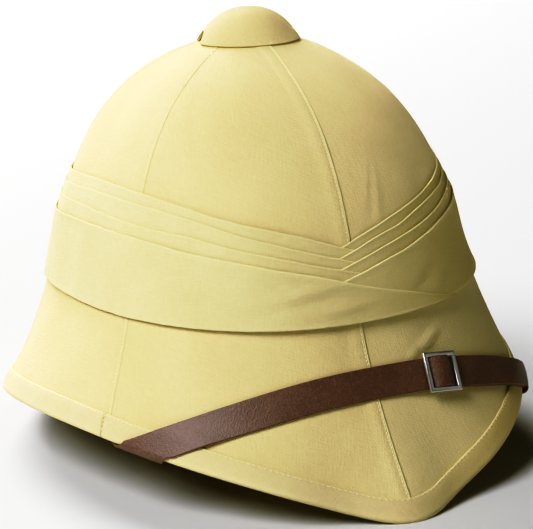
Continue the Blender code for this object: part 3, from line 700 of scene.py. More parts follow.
seats = []
for seam, lap_height in zip(GORE_SEAMS[1:], GORE_LAPS[1:]):
    down = section(seam).up[0] - SEAM_FROM_VENT
    while down > SEAM_TO_EDGE:
        reach = section(seam).at(down, 0.0)[0]
        angle = seam - math.degrees(STITCH_FROM_LAP / reach)
        lift = lap_height - SEAM_SUNK + slack(angle, down, reach)
        here, there = on_cover(angle, down, lift), on_cover(angle, down - 1.0, lift)
        up = (on_cover(angle, down, lift + 1.0) - here).normalized()
        seats.append((here, (there - here).normalized(), up))
        down -= SEAM_STITCH
seam_stitches = stitch_piece("seam_stitches", seats, SEAM_STITCH * SEAM_STITCH_SHOWS, SEAM_THREAD)

# Spun cotton sewing thread: two plies twisted, matt, paler than the cloth because it is not dyed so deep.
# The twist shows as tints about 0.4 mm long.
sewing_thread, shader = new_finish("sewing_thread")
place = add_node(sewing_thread, "TexCoord", "Object")
plies = pattern(sewing_thread, place, scale=2600.0, detail=2.0)
tints = blended(sewing_thread, plies, paint("#D9CC94"), paint("#F3EBC2"))
normal = relief(sewing_thread, plies, strength=0.5, height=0.0001)
set_node(sewing_thread, shader, {"Base Color": tints, "Roughness": 0.8, "Normal": normal})
seam_stitches.data.materials.append(sewing_thread)
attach(seam_stitches, "root")

# ---- Brim binding ----
# A bias strip of the same drill, folded over the brim's edge and stitched through near its inner edge.
# Its ends meet beside the seam at the wearer's right, where the thread is knotted off.

GAP = 0.3
BINDING_WALL = 1.0
BINDING_TOP = 11.0
BINDING_UNDER = 9.0
BINDING_OUT = GAP + BINDING_WALL
BINDING_PUFF = 0.16
BINDING_STITCH = 3.1
BINDING_STITCH_SHOWS = 0.74
BINDING_THREAD = 0.31
BINDING_SUNK = 0.22
BINDING_ROW = BINDING_TOP - 1.0
BINDING_JOIN = -63.6
JOIN_DEPTH = 0.35
JOIN_WIDTH = 0.35  # degrees round the brim
JOIN_SHADE = 0.7
JOIN_SHADE_WIDTH = 0.25
NEAR_JOIN = (-0.6, -0.3, -0.15, 0.0, 0.15, 0.3)  # degrees from the join where more columns lie
BINDING_COLUMNS = 400
BINDING_OUTSIDE = 14  # how many points of its cross-section lie outside
EDGE_POINT = 10  # the point of it at the brim's edge, along which its length is measured
BIAS = 0.7071  # cut on the bias, so its threads run at 45 degrees to the edge
BINDING_WAVE = 0.22
BINDING_PUCKER = 0.07
PUCKERS = 290


def binding_ripple(angle):
    """The binding's inner edge waves a little and is puckered by its stitches."""
    wave = BINDING_WAVE * noise.noise(Vector((angle * 0.35, 3.7, 0.0)))
    return wave + BINDING_PUCKER * math.cos(math.radians(angle) * PUCKERS)


def binding_loop(angle):
    """Its cross-section at an angle: the points round it, and how pale each of them is painted, partly wear
    and partly painted highlight.
    """
    cross = section(angle)
    top = BINDING_TOP + binding_ripple(angle)
    puff = BINDING_PUFF * noise.noise(Vector((angle * 0.22, 0.0, 9.1)))
    join = JOIN_DEPTH * bell(angle - BINDING_JOIN, JOIN_WIDTH)
    edge = cross.half_wall(0.0)

    def side(distance, offset, sign):
        return cross.at(distance, sign * (cross.half_wall(distance) + offset))

    outside = [
        (side(top - 0.15, 0.05, 1), 0.6),
        (side(top, 0.45, 1), 1.0),
        (side(top - 0.15, 0.85, 1), 1.0),
        (side(top - 0.5, BINDING_OUT - 0.15, 1), 0.7),
        (side(top - 0.95, BINDING_OUT - 0.30 - join, 1), 0.15),
        (side(top - 1.5, BINDING_OUT - 0.12 - join, 1), 0.0),
        (side(top - 2.6, BINDING_OUT + 0.06 + puff - join, 1), 0.0),
        (side(top - 5.0, BINDING_OUT + 0.12 + puff - join, 1), 0.0),
        (side(top - 7.5, BINDING_OUT + 0.10 + puff - join, 1), 0.0),
        (side(1.6, BINDING_OUT + 0.04 - join, 1), 0.1),
        (side(0.0, BINDING_OUT - join, 1), 0.35),
    ]
    outside += [(cross.round_edge(swing, edge + BINDING_OUT), 0.6) for swing in (62, 35, 10, -15, -42, -66)]
    outside += [
        (side(0.0, BINDING_OUT, -1), 0.3),
        (side(3.0, BINDING_OUT, -1), 0.0),
        (side(BINDING_UNDER - 1.2, BINDING_OUT - 0.1, -1), 0.0),
        (side(BINDING_UNDER - 0.3, BINDING_OUT - 0.3, -1), 0.5),
        (side(BINDING_UNDER, 0.6, -1), 0.8),
        (side(BINDING_UNDER - 0.2, 0.15, -1), 0.3),
        (side(4.0, 0.12, -1), 0.0),
        (side(0.3, 0.12, -1), 0.0),
    ]
    outside += [(cross.round_edge(swing, edge + 0.12), 0.0) for swing in (-45, 0, 45)]
    outside += [(side(0.3, 0.12, 1), 0.0), (side(5.0, 0.08, 1), 0.0)]
    points = [(reach, max(height, 0.0)) for (reach, height), wear_and_highlight in outside]
    return points + points[:1], [wear_and_highlight for point, wear_and_highlight in outside] + [outside[0][1]]


grid, threads, edge_wear_and_highlights, creases = [], [], [], []
round_brim = 0.0
angles = np.concatenate([np.linspace(-180, 180, BINDING_COLUMNS + 1), BINDING_JOIN + np.array(NEAR_JOIN)])
for angle in np.sort(angles):
    points, wear_and_highlight = binding_loop(angle)
    line = [in_space(angle, p) for p in points]
    if grid:
        round_brim += math.dist(grid[-1][EDGE_POINT], line[EDGE_POINT])
    grid.append(line)
    threads.append([((round_brim + a) * BIAS, (round_brim - a) * BIAS) for a in lengths_along(points)])
    # the binding's edges are painted paler: partly wear, partly painted highlight
    edge_wear_and_highlights.append([0.5 * r for r in wear_and_highlight])
    # the join's crease is painted darker: partly dirt, partly painted shade
    shade = JOIN_SHADE * bell(angle - BINDING_JOIN, JOIN_SHADE_WIDTH)
    creases.append([shade if k < BINDING_OUTSIDE else 0.0 for k in range(len(points))])
binding = grid_piece("brim_binding_cloth", grid, threads, {"wear_and_highlight": edge_wear_and_highlights, "crease": creases})
# the binding is painted darker and deeper towards the wearer's left, as painted shade
khaki_bias = khaki_cloth("khaki_bias_strip", "#DFD2A8", "#CDBE93", DRILL_THREAD, 0.28, 0.6)
binding.data.materials.append(khaki_bias)
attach(binding, "root")
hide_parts("brim_binding")


def off_cover(angle, distance):
    """The way straight up from the cover there."""
    return (on_cover(angle, distance, 2.0) - on_cover(angle, distance, 1.0)).normalized()


angles = np.linspace(-180, 180, 721)
row = np.array([on_cover(a, BINDING_ROW + binding_ripple(a), BINDING_OUT - BINDING_SUNK) for a in angles])
row_length = lengths_along(row)
seats = []
for place in np.arange(BINDING_STITCH, row_length[-1], BINDING_STITCH):
    here, there = [
        Vector([np.interp(x, row_length, row[:, k]) for k in range(3)]) for x in (place, place + 0.5)
    ]
    angle = float(np.interp(place, row_length, angles))
    seats.append((here, (there - here).normalized(), off_cover(angle, BINDING_ROW)))
# A few whipped stitches close the join, and the thread's end is knotted above them: (distance, lean).
JOIN_STITCHES = ((9.6, 0.0), (7.2, 0.0), (4.9, 0.0), (2.5, 0.0), (10.6, 1.2), (10.9, -0.9), (10.4, 0.4))
for distance, leans in JOIN_STITCHES:
    angle = BINDING_JOIN + 0.06 * leans
    lift = BINDING_OUT - 0.30 + 0.3 * abs(leans)
    here, below = on_cover(angle, distance, lift), on_cover(angle + 0.35 * leans, distance - 0.5, lift)
    seats.append((here, (below - here).normalized(), off_cover(BINDING_JOIN, distance)))
stitch_length = BINDING_STITCH * BINDING_STITCH_SHOWS
binding_stitches = stitch_piece("binding_stitches", seats, stitch_length, BINDING_THREAD)
binding_stitches.data.materials.append(sewing_thread)
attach(binding_stitches, "root")

# ---- Pleated band ----
# One long cotton cloth wound three times round the crown, each turn folded to a pleat whose upper edge
# shows. The turns run down to the front from both sides and pass over and under each other there.

PLEATS_RIGHT = (
    # angle, then the height of each pleat's upper edge on the wearer's right
    (-180, 157.5, 150.5, 143.5, 136.0),
    (-145, 159.0, 152.5, 145.5, 137.4),
    (-120, 161.5, 154.8, 147.8, 138.8),
    (-95, 165.0, 158.6, 150.4, 142.4),
    (-70, 164.6, 158.8, 149.0, 142.4),
    (-55, 161.4, 156.2, 146.4, 139.8),
    (-42, 156.2, 151.4, 143.2, 135.4),
    (-29, 149.8, 143.8, 136.6, 130.6),
    (-20, 145.6, 138.8, 132.4, 126.2),
    (-12, 141.0, 133.8, 127.8, 122.2),
    (-4, 135.3, 129.0, 123.3, 117.2),
    (2, 131.4, 125.0, 119.6, 113.0),
    (13, 124.0, 118.0, 112.5, 106.5),
    (21, 118.0, 112.0, 107.0, 101.4),
    (31, 111.0, 105.0, 100.0, 95.4),
)
PLEATS_LEFT = (
    # angle, then the same on the wearer's left
    (-16, 126.5, 121.0, 116.0, 109.0),
    (-4, 134.3, 129.4, 124.0, 117.4),
    (2, 138.4, 133.6, 127.6, 121.0),
    (7, 141.8, 137.0, 130.6, 123.9),
    (16, 146.9, 141.4, 135.2, 128.4),
    (24, 150.6, 146.1, 138.8, 132.6),
    (31, 153.8, 149.2, 142.0, 136.2),
    (42, 158.0, 152.8, 147.0, 140.2),
    (53, 161.4, 156.0, 150.1, 143.2),
    (72, 165.6, 159.8, 153.2, 146.0),
    (100, 166.0, 160.0, 153.2, 146.0),
    (135, 162.0, 155.0, 148.0, 141.0),
    (180, 157.5, 150.5, 143.5, 136.0),
)
RIGHT_TABLE = np.array(PLEATS_RIGHT, float)
LEFT_TABLE = np.array(PLEATS_LEFT, float)
BAND_BOTTOM = 94.5
BAND_BOTTOM_RISE = 6.6
PLEAT_CLOTH = 0.4  # two layers of thin cotton, pressed
PLEAT_LEVELS_LEFT = (0.45, 1.35, 2.25, 3.15)
PLEAT_LEVELS_RIGHT = (0.9, 1.8, 2.7, 3.6)
CLIMB_FROM = 120.0  # degrees round, where a turn starts to climb to its level on the right, and over how many
CLIMB_OVER = 120.0
CROSSING = 25.0  # degrees from the front within which the turns cross, and how they draw in beside that
DRAW_IN_OVER = 35.0
DRAW_IN = 0.32
HIDDEN_OVERLAP = 4.5
PLEAT_WAVE = 0.28
PLEAT_PUFF = 0.16
PLEAT_ACROSS = (1.0, 0.8, 0.62, 0.46, 0.34, 0.24)


def turn_angle(along):
    """The angle at a place along a turn, which runs from the front by the wearer's left and round again."""
    return along if along <= 180 else along - 360


def pleat_edge(along, pleat):
    """The height of a pleat's upper edge. The fourth is the wide turn's."""
    table = LEFT_TABLE if along <= 180 else RIGHT_TABLE
    return float(spline(table[:, 0], table[:, pleat + 1], turn_angle(along)))


def band_bottom(angle):
    """The height of the band's lower edge: a little higher at the sides."""
    return BAND_BOTTOM + BAND_BOTTOM_RISE * math.sin(math.radians(angle)) ** 2


def drawn_in(angle):
    """Away from the front, where the turns don't cross, they lie closer to the crown."""
    return 1 - DRAW_IN * smooth_share((abs(angle) - CROSSING) / DRAW_IN_OVER)


def pleat_level(along, pleat):
    """How far out a turn lies: it climbs half a step on its way round, so its end passes over its start."""
    left, right = PLEAT_LEVELS_LEFT[pleat], PLEAT_LEVELS_RIGHT[pleat]
    level = left + (right - left) * smooth_share((along - CLIMB_FROM) / CLIMB_OVER)
    return level * drawn_in(turn_angle(along))


def pleat_loop(along, pleat):
    """The cross-section of a pleat: up its face to the rolled fold, over it and down its back."""
    cross = section(turn_angle(along))
    seed = 11.0 * pleat
    wave = PLEAT_WAVE * noise.noise(Vector((along * 0.16, seed, 0.0)))
    top = cross.distance_at_height(pleat_edge(along, pleat) + wave)
    width = top - cross.distance_at_height(pleat_edge(along, pleat + 1) - HIDDEN_OVERLAP)
    puff = PLEAT_PUFF * noise.noise(Vector((along * 0.09, seed + 5.0, 2.0)))
    level = pleat_level(along, pleat)
    front = level + PLEAT_CLOTH
    # away from the front the fold is pressed flatter and tucked in closer
    roll = 2.0 * drawn_in(turn_angle(along)) - 1.0
    tuck = (1 - roll) * (0.75 if level < 1.0 else 0.25)
    face = [(top - width * share, front + puff * share) for share in PLEAT_ACROSS]
    face += [
        (top - 1.9, front + 0.06),
        (top - 1.2, front + 0.18 * roll),
        (top - 0.7, front + 0.32 * roll),
        (top - 0.3, front + 0.30 * roll),
        (top - 0.06, front + 0.12 * roll),
        (top, level + PLEAT_CLOTH * 0.5),
        (top - 0.1, level + 0.02 - tuck),
        (top - 1.0, level - tuck),
    ]
    back = [(top - width * share, level) for share in PLEAT_ACROSS[::-1]]
    # how pale each point of the rolled fold is painted: partly wear, partly painted highlight
    wear_and_highlight = [0.0] * (len(PLEAT_ACROSS) + 1) + [0.0, 0.35, 0.85, 1.0, 0.8, 0.2, 0.0] + [0.0] * len(back)
    points = []
    for distance, out in face + back:
        points.append(tuple(cross.at(distance, cross.half_wall(distance) + GAP + out)))
    return points + points[:1], wear_and_highlight + wear_and_highlight[:1]


FACE_POINT = 4  # the point of a cross-section along which a strip's length is measured
BAND_STEP = 1.25
PALEST_FOLDS_AT = 5.0  # the folds' edges are painted palest in front and less at the sides: partly wear, partly painted highlight
PALE_FOLDS_WIDTH = 55.0


def wound_strip(name, stops, loop_at):
    """A strip of cloth through its cross-sections, closed at both ends."""
    grid, threads, edge_wear_and_highlights = [], [], []
    travel = 0.0
    for along in stops:
        points, wear_and_highlight = loop_at(along)
        line = [in_space(turn_angle(along), p) for p in points]
        if grid:
            travel += math.dist(grid[-1][FACE_POINT], line[FACE_POINT])
        grid.append(line)
        threads.append([(travel, a) for a in lengths_along(points)])
        # the folds' pale edges, partly wear and partly painted highlight, are strongest in front
        fold_paling = 0.2 + 0.6 * bell(turn_angle(along) - PALEST_FOLDS_AT, PALE_FOLDS_WIDTH)
        edge_wear_and_highlights.append([fold_paling * r for r in wear_and_highlight])
    return grid_piece(name, grid, threads, {"wear_and_highlight": edge_wear_and_highlights}, capped=True), travel


# Finer and softer cotton than the drill, with more slubs.
# the band is painted darker and deeper towards the wearer's left, as painted shade
puggaree_cotton = khaki_cloth("puggaree_cotton", "#E2D8AC", "#CEC292", 0.9, 0.33, 0.6)
PLEAT_START = -15.0
PLEAT_ENDS = (368.0, 370.0, 373.0)
for pleat, pleat_end in enumerate(PLEAT_ENDS):
    stops = np.arange(PLEAT_START, pleat_end, BAND_STEP)
    turn, length = wound_strip(f"band_pleat_{pleat + 1}", stops, lambda along: pleat_loop(along, pleat))
    turn.data.materials.append(puggaree_cotton)
    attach(turn, "root")
    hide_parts("puggaree_folds")

# ---- Band: wide turn and its last wrap ----
# The last turn is left wide. It goes once more round over the pleats' lower ends, and is cut to a point
# that ends at the band's lower edge on the wearer's left front. Top and bottom edges are turned under.

WIDE_CLOTH = 0.5
BOTTOM_PAD = 2.0  # how far its hem stands out, and how much more at the left and the right
LEFT_PAD = 1.8
RIGHT_PAD = -0.8
BAND_SETTLE = 26.0  # how far above its hem it lies on the pleats
WIDE_EDGE_WAVE = 0.25
WIDE_HEM = 0.7
WIDE_FOLD = 1.7
WIDE_ACROSS = np.linspace(0.03, 0.95, 15)
WIDE_BACK = (0.85, 0.7, 0.55, 0.4, 0.25, 0.1)
FRONT_DEGREE = 2.0  # millimetres to a degree round the band's front
BAND_SOFT_FOLDS = (
    # angle, height, half length across, half width, slope of the fold, depth
    (22.0, 112.0, 8.0, 3.0, 0.75, 0.8),
    (26.5, 107.5, 6.0, 2.6, 0.70, -0.6),
    (37.0, 118.0, 9.0, 4.0, 0.9, 0.55),
    (-13.0, 108.5, 20.0, 3.2, 0.16, 0.4),
    (-14.0, 114.5, 20.0, 3.4, 0.16, -0.8),
    (-4.0, 103.0, 14.0, 2.6, 0.10, -0.7),
    (-44.0, 108.0, 14.0, 4.0, -0.05, 0.35),
)


def band_out(angle, height):
    """How far out the wide turn lies over the shell: on the pleats above, and closer to it at its hem."""
    bottom = band_bottom(angle)
    share = min(max((height - bottom) / BAND_SETTLE, 0.0), 1.0)
    aside = math.sin(math.radians(angle))
    pad = BOTTOM_PAD + (LEFT_PAD if aside > 0 else RIGHT_PAD) * aside**2
    over_pleats = PLEAT_LEVELS_LEFT[3] * drawn_in(angle)
    return pad + (over_pleats - pad) * math.sin(share * math.pi / 2)


def band_sag(angle, height):
    """Soft hollows and ridges where the cloth isn't drawn tight."""
    out = 0.35 * noise.noise(Vector((angle * 0.10, height * 0.045, 4.4)))
    for at, up, long, wide, slope, depth in BAND_SOFT_FOLDS:
        x = (angle - at) * FRONT_DEGREE
        aside = (height - up) - slope * x
        out -= depth * bell(x, long) * bell(aside, wide)
    return out


def wide_loop(along, seed, over):
    """The wide turn's cross-section: a flat fold above, the face with its soft folds, and a hem below. The
    last wrap narrows to its point where its upper edge runs down to the band's lower one."""
    angle, edge = turn_angle(along), pleat_edge(along, 3)
    cross = section(angle)
    bottom = band_bottom(angle) + WIDE_EDGE_WAVE * noise.noise(Vector((angle * 0.12, seed, 8.0)))
    span = max(edge - bottom, 1.2)
    top = cross.distance_at_height(edge + WIDE_EDGE_WAVE * noise.noise(Vector((angle * 0.16, seed, 1.0))))
    low = cross.distance_at_height(bottom)
    tall = top - low
    # towards its point the fold, the hem and the soft folds shrink with it
    ease = min(1.0, span / 12.0)
    hem = low + WIDE_HEM * ease
    face = tall - (WIDE_HEM + WIDE_FOLD) * ease
    # the third value is how pale each point is painted: partly wear, partly painted highlight
    outside = [(low - 0.05, 0.06, 0.5), (low - 0.18, 0.30, 0.7), (low, 0.58, 0.6), (hem, 0.62, 0.2)]
    for share in WIDE_ACROSS:
        held = min(1.0, share / 0.12, (1 - share) / 0.12)
        sag = band_sag(angle, bottom + span * share) * held * ease
        outside.append((hem + face * share, WIDE_CLOTH + sag, 0.0))
    outside += [
        (top - 1.1 * ease, WIDE_CLOTH + 0.20, 0.35),
        (top - 0.6 * ease, WIDE_CLOTH + 0.34, 0.9),
        (top - 0.25 * ease, WIDE_CLOTH + 0.30, 1.0),
        (top - 0.05, WIDE_CLOTH + 0.10, 0.9),
        (top, 0.2, 0.6),
        (top - 0.1, 0.0, 0.1),
    ]
    outside += [(low + tall * share, 0.0, 0.0) for share in WIDE_BACK]
    points, wear_and_highlight = [], []
    for distance, out, rub_and_highlight in outside:
        height = cross.at(distance, 0.0)[1]
        seat = band_out(angle, height) + over
        points.append(tuple(cross.at(distance, cross.half_wall(distance) + GAP + seat + out)))
        wear_and_highlight.append(rub_and_highlight)
    return points + points[:1], wear_and_highlight + wear_and_highlight[:1]


WIDE_END = 194.0
WRAP_START = 188.0
WRAP_OVER = 0.55
POINT_ANGLE = 391.0

stops = np.arange(PLEAT_START, WIDE_END, BAND_STEP)
wide_turn, length = wound_strip("band_wide_turn", stops, lambda along: wide_loop(along, 41.0, 0.0))
wide_turn.data.materials.append(puggaree_cotton)
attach(wide_turn, "root")
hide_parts("puggaree_folds")
stops = np.append(np.arange(WRAP_START, POINT_ANGLE, BAND_STEP), POINT_ANGLE)
last_wrap, length = wound_strip("band_last_wrap", stops, lambda along: wide_loop(along, 57.0, WRAP_OVER))
last_wrap.data.materials.append(puggaree_cotton)
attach(last_wrap, "root")
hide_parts("puggaree_wrap")

# ---- Ventilator cap ----
# A pressed metal dome with the drill stretched over it and turned in under its rim. It stands a little
# clear of the crown, and an arched notch at each of two sides lets the air out.

CAP_BASE = 232.9
CAP_RADIUS = 29.4
CAP_HEIGHT = 18.1
CAP_POWER = 2.55
CAP_WALL = 1.6
CAP_SEGMENTS = 96
CAP_RINGS = (0.985, 0.96, 0.925, 0.88, 0.82, 0.75, 0.66, 0.56, 0.45, 0.33, 0.2, 0.08)
CAP_EDGE = 0.45
NOTCH_ANGLES = (-108.0, 72.0)
NOTCH_RADIUS = 6.5
NOTCH_DEPTH = 14.0
NOTCH_BELOW = 0.5


def dome(radius):
    """The height of the dome's outside at a distance from its middle."""
    return CAP_BASE + CAP_HEIGHT * (1 - (radius / CAP_RADIUS) ** CAP_POWER)


bpy.ops.mesh.primitive_circle_add(
    vertices=CAP_SEGMENTS, radius=CAP_RADIUS * MM, location=(0, CROWN_BACK * MM, CAP_BASE * MM)
)
cap = bpy.context.object
cap.name = "vent_cap_dome"
bpy.ops.object.mode_set(mode="EDIT")
bpy.ops.mesh.select_all(action="SELECT")
radius = CAP_RADIUS
for share in CAP_RINGS:
    new_radius = CAP_RADIUS * share
    bpy.ops.mesh.extrude_region_move(
        TRANSFORM_OT_translate={"value": (0, 0, (dome(new_radius) - dome(radius)) * MM)}
    )
    factor = new_radius / radius
    bpy.ops.transform.resize(
        value=(factor, factor, 1.0), center_override=(0, CROWN_BACK * MM, dome(new_radius) * MM)
    )
    radius = new_radius
bpy.ops.mesh.merge(type="CENTER")
bpy.ops.mesh.select_all(action="SELECT")
bpy.ops.mesh.normals_make_consistent(inside=False)
bpy.ops.object.mode_set(mode="OBJECT")
bpy.ops.object.transform_apply(location=True, rotation=True, scale=True)
thicken(cap, CAP_WALL)
for angle in NOTCH_ANGLES:
    turn = math.radians(angle)
    outwards = Vector((math.sin(turn), -math.cos(turn), 0))
    where = Vector((0, CROWN_BACK, CAP_BASE - NOTCH_BELOW)) + outwards * CAP_RADIUS
    bpy.ops.mesh.primitive_cylinder_add(
        vertices=40,
        radius=NOTCH_RADIUS * MM,
        depth=NOTCH_DEPTH * MM,
        location=where * MM,
        rotation=outwards.to_track_quat("Z", "Y").to_euler(),
    )
    cutter = bpy.context.object
    apply_modifier(cap, "BOOLEAN", {"operation": "DIFFERENCE", "solver": "EXACT", "object": cutter})
    bpy.data.objects.remove(cutter)
# the cloth is turned in round every edge
sharp = math.radians(40)
turned_edge = {"width": CAP_EDGE * MM, "segments": 3, "limit_method": "ANGLE", "angle_limit": sharp}
apply_modifier(cap, "BEVEL", turned_edge)
select_only(cap)
bpy.ops.object.shade_smooth_by_angle(angle=math.radians(50))
cap_map = cap.data.uv_layers.new(name="threads")
for loop in cap.data.loops:
    x, y = cap.data.vertices[loop.vertex_index].co.xy / MM
    cap_map.data[loop.index].uv = (x * THREADS_PER_MM, (y - CROWN_BACK) * THREADS_PER_MM)
# The same drill as the cover's, painted a little darker as painted shade: the cap takes less light than the
# cover.
cap_drill = khaki_cloth("cap_drill", "#D9CB9F", "#C7B787", DRILL_THREAD, 0.28)
cap.data.materials.append(cap_drill)
cap.select_set(False)
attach(cap, "root")
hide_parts("vent_cap")

# ---- Cap post and strap studs ----
# Plain turned fixings: the bolt that holds the cap, and a stud at each end of the strap inside the shell.
# They are turned from brass, plated, and kept as the part has them.


def nickel_plate(name, spots, scratches, colours, rough):
    """Nickel plate over brass: spots in its colour and its polish, and a fine relief of scratches."""
    finish, shader = new_finish(name)
    place = add_node(finish, "TexCoord", "Object")
    scratched = pattern(finish, place, **scratches)
    spotted = pattern(finish, place, **spots)
    tints = blended(finish, spotted, paint(colours[0]), paint(colours[1]))
    polish = add_node(finish, "MapRange", "Result", {**rough, "Value": spotted})
    normal = relief(finish, scratched, strength=0.12, height=0.0001)
    set_node(finish, shader, {"Metallic": 1.0, "Base Color": tints, "Roughness": polish, "Normal": normal})
    return finish


# Nickel plate gone dull: greyed by patches of tarnish about 6 mm across, with tool marks about 0.7 mm long.
dull_nickel = nickel_plate(
    "dull_nickel_plate",
    spots={"scale": 160.0, "detail": 3.0},
    scratches={"scale": 1500.0, "detail": 3.0, "roughness": 0.6},
    colours=("#8F8A80", "#B9B5AC"),
    rough={"To Min": 0.32, "To Max": 0.55},
)
for node_name in ("cap_post", "strap_stud_right", "strap_stud_left"):
    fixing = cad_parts[node_name]
    fixing.data.materials.clear()
    fixing.data.materials.append(dull_nickel)

# ---- Chin strap ----
# Bridle leather, cut 17 mm wide, dyed dark brown and polished on its face; the cut edges stay redder.
# It lies over the peak, goes round the brim to a stud at each side, and one end doubles back to the slide.

STRAP_WIDTH = 17.2
STRAP_WALL = 1.4
STRAP_SLACK = 0.2
STRAP_STEP = 3.0
STRAP_TURN_STEP = 0.8
STRAP_TURN = 11.0
OFF_BINDING = 12.0  # how far beyond the binding the strap has come down from it, and how gently
OFF_BINDING_OVER = 11.0
SLANT_FROM = 42.0  # how far from its turn the strap's cross lines start to slant, and how gently
SLANT_OVER = 24.0
PAST_STUD = 1.15
STRAP_LINE = (
    # angle, height of the shell under the strap's middle
    (0, 63.8),
    (11, 62.9),
    (20, 60.1),
    (29, 55.4),
    (40, 47.5),
    (51, 37.1),
)
STUD_ANGLE = 84.0
STUD_DISTANCE = 62.0
STRAP_END = 10.0
SLIDE_ANGLE = 16.6
SLIDE_LENGTH = 22.2
SLIDE_HEIGHT = 21.8
SLIDE_BAR = 2.5
SLIDE_BOTTOM = 3.9
SLIDE_WALL = 1.8
CENTRE_BAR_BOTTOM = 2.3
CENTRE_BAR_WALL = 1.0


class StrapPath:
    """The strap's middle line over the peak, round the brim's edge on both sides and up to the studs."""

    def __init__(self):
        table = np.array(STRAP_LINE, float)
        self.arc = math.pi * (EDGE_WALL / 2 + BINDING_WALL + 2 * GAP + STRAP_SLACK + STRAP_WALL / 2)
        edge_angle = table[-1, 0]
        over = np.linspace(0, edge_angle, 40)
        mirrored = np.concatenate([-table[:0:-1, 0], table[:, 0]])
        heights = spline(mirrored, np.concatenate([table[:0:-1, 1], table[:, 1]]), over)
        risen = np.array([section(angle).distance_at_height(z) for angle, z in zip(over, heights)])
        risen += self.arc / 2
        # below the edge the line goes straight on, to the stud and a little past it
        share = np.linspace(0, PAST_STUD, 30)[1:]
        inside = edge_angle + (STUD_ANGLE - edge_angle) * share
        sunk = self.arc / 2 - (STUD_DISTANCE + self.arc) * share
        angles = np.concatenate([over, inside])
        rises = np.concatenate([risen, sunk])
        self.angles = np.concatenate([-angles[:0:-1], angles])
        self.rises = np.concatenate([rises[:0:-1], rises])
        places = [self.lay(angle, rise, 0.0) for angle, rise in zip(self.angles, self.rises)]
        self.length = lengths_along(places)
        self.length -= np.interp(0.0, self.angles, self.length)
        self.stud, self.slide, self.edge_place = np.interp(
            (STUD_ANGLE, SLIDE_ANGLE, edge_angle), self.angles, self.length
        )

    def stations(self, start, end):
        """Places along the strap, set close together where it turns round the brim's edge."""
        stops = [start]
        forward = 1 if end > start else -1
        while (end - stops[-1]) * forward > STRAP_STEP * 0.6:
            ahead = stops[-1] + forward * STRAP_STEP
            nearest = min(abs(abs(place) - self.edge_place) for place in (stops[-1], ahead))
            stops.append(stops[-1] + forward * (STRAP_TURN_STEP if nearest < STRAP_TURN else STRAP_STEP))
        return stops[:-1] + [end] if len(stops) > 1 else stops

    def seat(self, cross, distance, width_of_binding):
        """Half the shell and, near the edge, the binding that the strap passes over."""
        share = np.clip((width_of_binding + OFF_BINDING - distance) / OFF_BINDING_OVER, 0, 1)
        return cross.half_wall(distance) + GAP + STRAP_SLACK + (BINDING_WALL + GAP) * share

    def lay(self, angle, rise, lift):
        """The place at an angle and a rise, which is positive above the brim and negative below it."""
        cross = section(angle)
        if rise >= self.arc / 2:
            distance = rise - self.arc / 2
            return in_space(angle, cross.at(distance, self.seat(cross, distance, BINDING_TOP) + lift))
        if rise <= -self.arc / 2:
            distance = -rise - self.arc / 2
            return in_space(angle, cross.at(distance, -self.seat(cross, distance, BINDING_UNDER) - lift))
        swing = 90.0 * rise / (self.arc / 2)
        return in_space(angle, cross.round_edge(swing, self.seat(cross, 0.0, BINDING_TOP) + lift))

    def steer(self, along):
        """Angle and rise at a place along the strap, and their change per millimetre along and across it."""
        places = (along - 1.0, along, along + 1.0)
        angles = np.interp(places, self.length, self.angles)
        rises = np.interp(places, self.length, self.rises)
        ahead = np.array([angles[2] - angles[0], rises[2] - rises[0]]) / 2
        angle, rise = angles[1], rises[1]
        middle = np.array([angle, rise])
        by_angle = np.subtract(self.lay(angle + 0.5, rise, 0), self.lay(angle - 0.5, rise, 0))
        by_rise = np.subtract(self.lay(angle, rise + 0.5, 0), self.lay(angle, rise - 0.5, 0))
        forward = ahead[0] * by_angle + ahead[1] * by_rise
        aside = np.array([-(forward @ by_rise), forward @ by_angle])
        aside /= np.linalg.norm(aside[0] * by_angle + aside[1] * by_rise)
        return middle, ahead, aside

    def slanted(self, along, across):
        """How far along the strap a place is moved: near the brim's edge a cross line is slanted until it
        lies along that edge."""
        middle, ahead, aside = self.steer(along)
        slant = float(np.clip((SLANT_FROM - abs(abs(along) - self.edge_place)) / SLANT_OVER, 0, 1))
        return -across * aside[1] / ahead[1] * slant if slant > 0 else 0.0

    def point(self, along, across, lift):
        """A place on the strap: along it, across it, and up from what it lies on."""
        middle, ahead, aside = self.steer(along)
        angle, rise = middle + across * aside + self.slanted(along, across) * ahead
        return self.lay(angle, rise, lift)

    def frame(self, along, lift):
        """A frame there: X along the strap, Y across it, Z up from it."""
        middle = Vector(self.point(along, 0.0, lift))
        x = Vector(self.point(along + 3, 0.0, lift)) - Vector(self.point(along - 3, 0.0, lift))
        x.normalize()
        y = Vector(self.point(along, 5.0, lift)) - Vector(self.point(along, -5.0, lift))
        z = x.cross(y).normalized()
        if z.dot(Vector(self.point(along, 0.0, lift + 1.0)) - middle) < 0:
            z.negate()
        y = z.cross(x)
        placed = Matrix((x, y, z)).transposed().to_4x4()
        placed.translation = middle * MM
        return placed


HALF_STRAP = STRAP_WALL / 2
SECOND_LAYER = HALF_STRAP + STRAP_WALL + GAP
LOOP_MIDDLE = CENTRE_BAR_BOTTOM + CENTRE_BAR_WALL / 2
LOOP_RADIUS = LOOP_MIDDLE - HALF_STRAP
HUMP = LOOP_MIDDLE + LOOP_RADIUS + STRAP_WALL + GAP

strap_path = StrapPath()
reach = SLIDE_LENGTH / 2
slide_at = strap_path.slide
# each stop of the course is a place along the strap and how high its middle lies there
start = -strap_path.stud - STRAP_END
course = [(stop, HALF_STRAP) for stop in strap_path.stations(start, slide_at - reach - 14)]
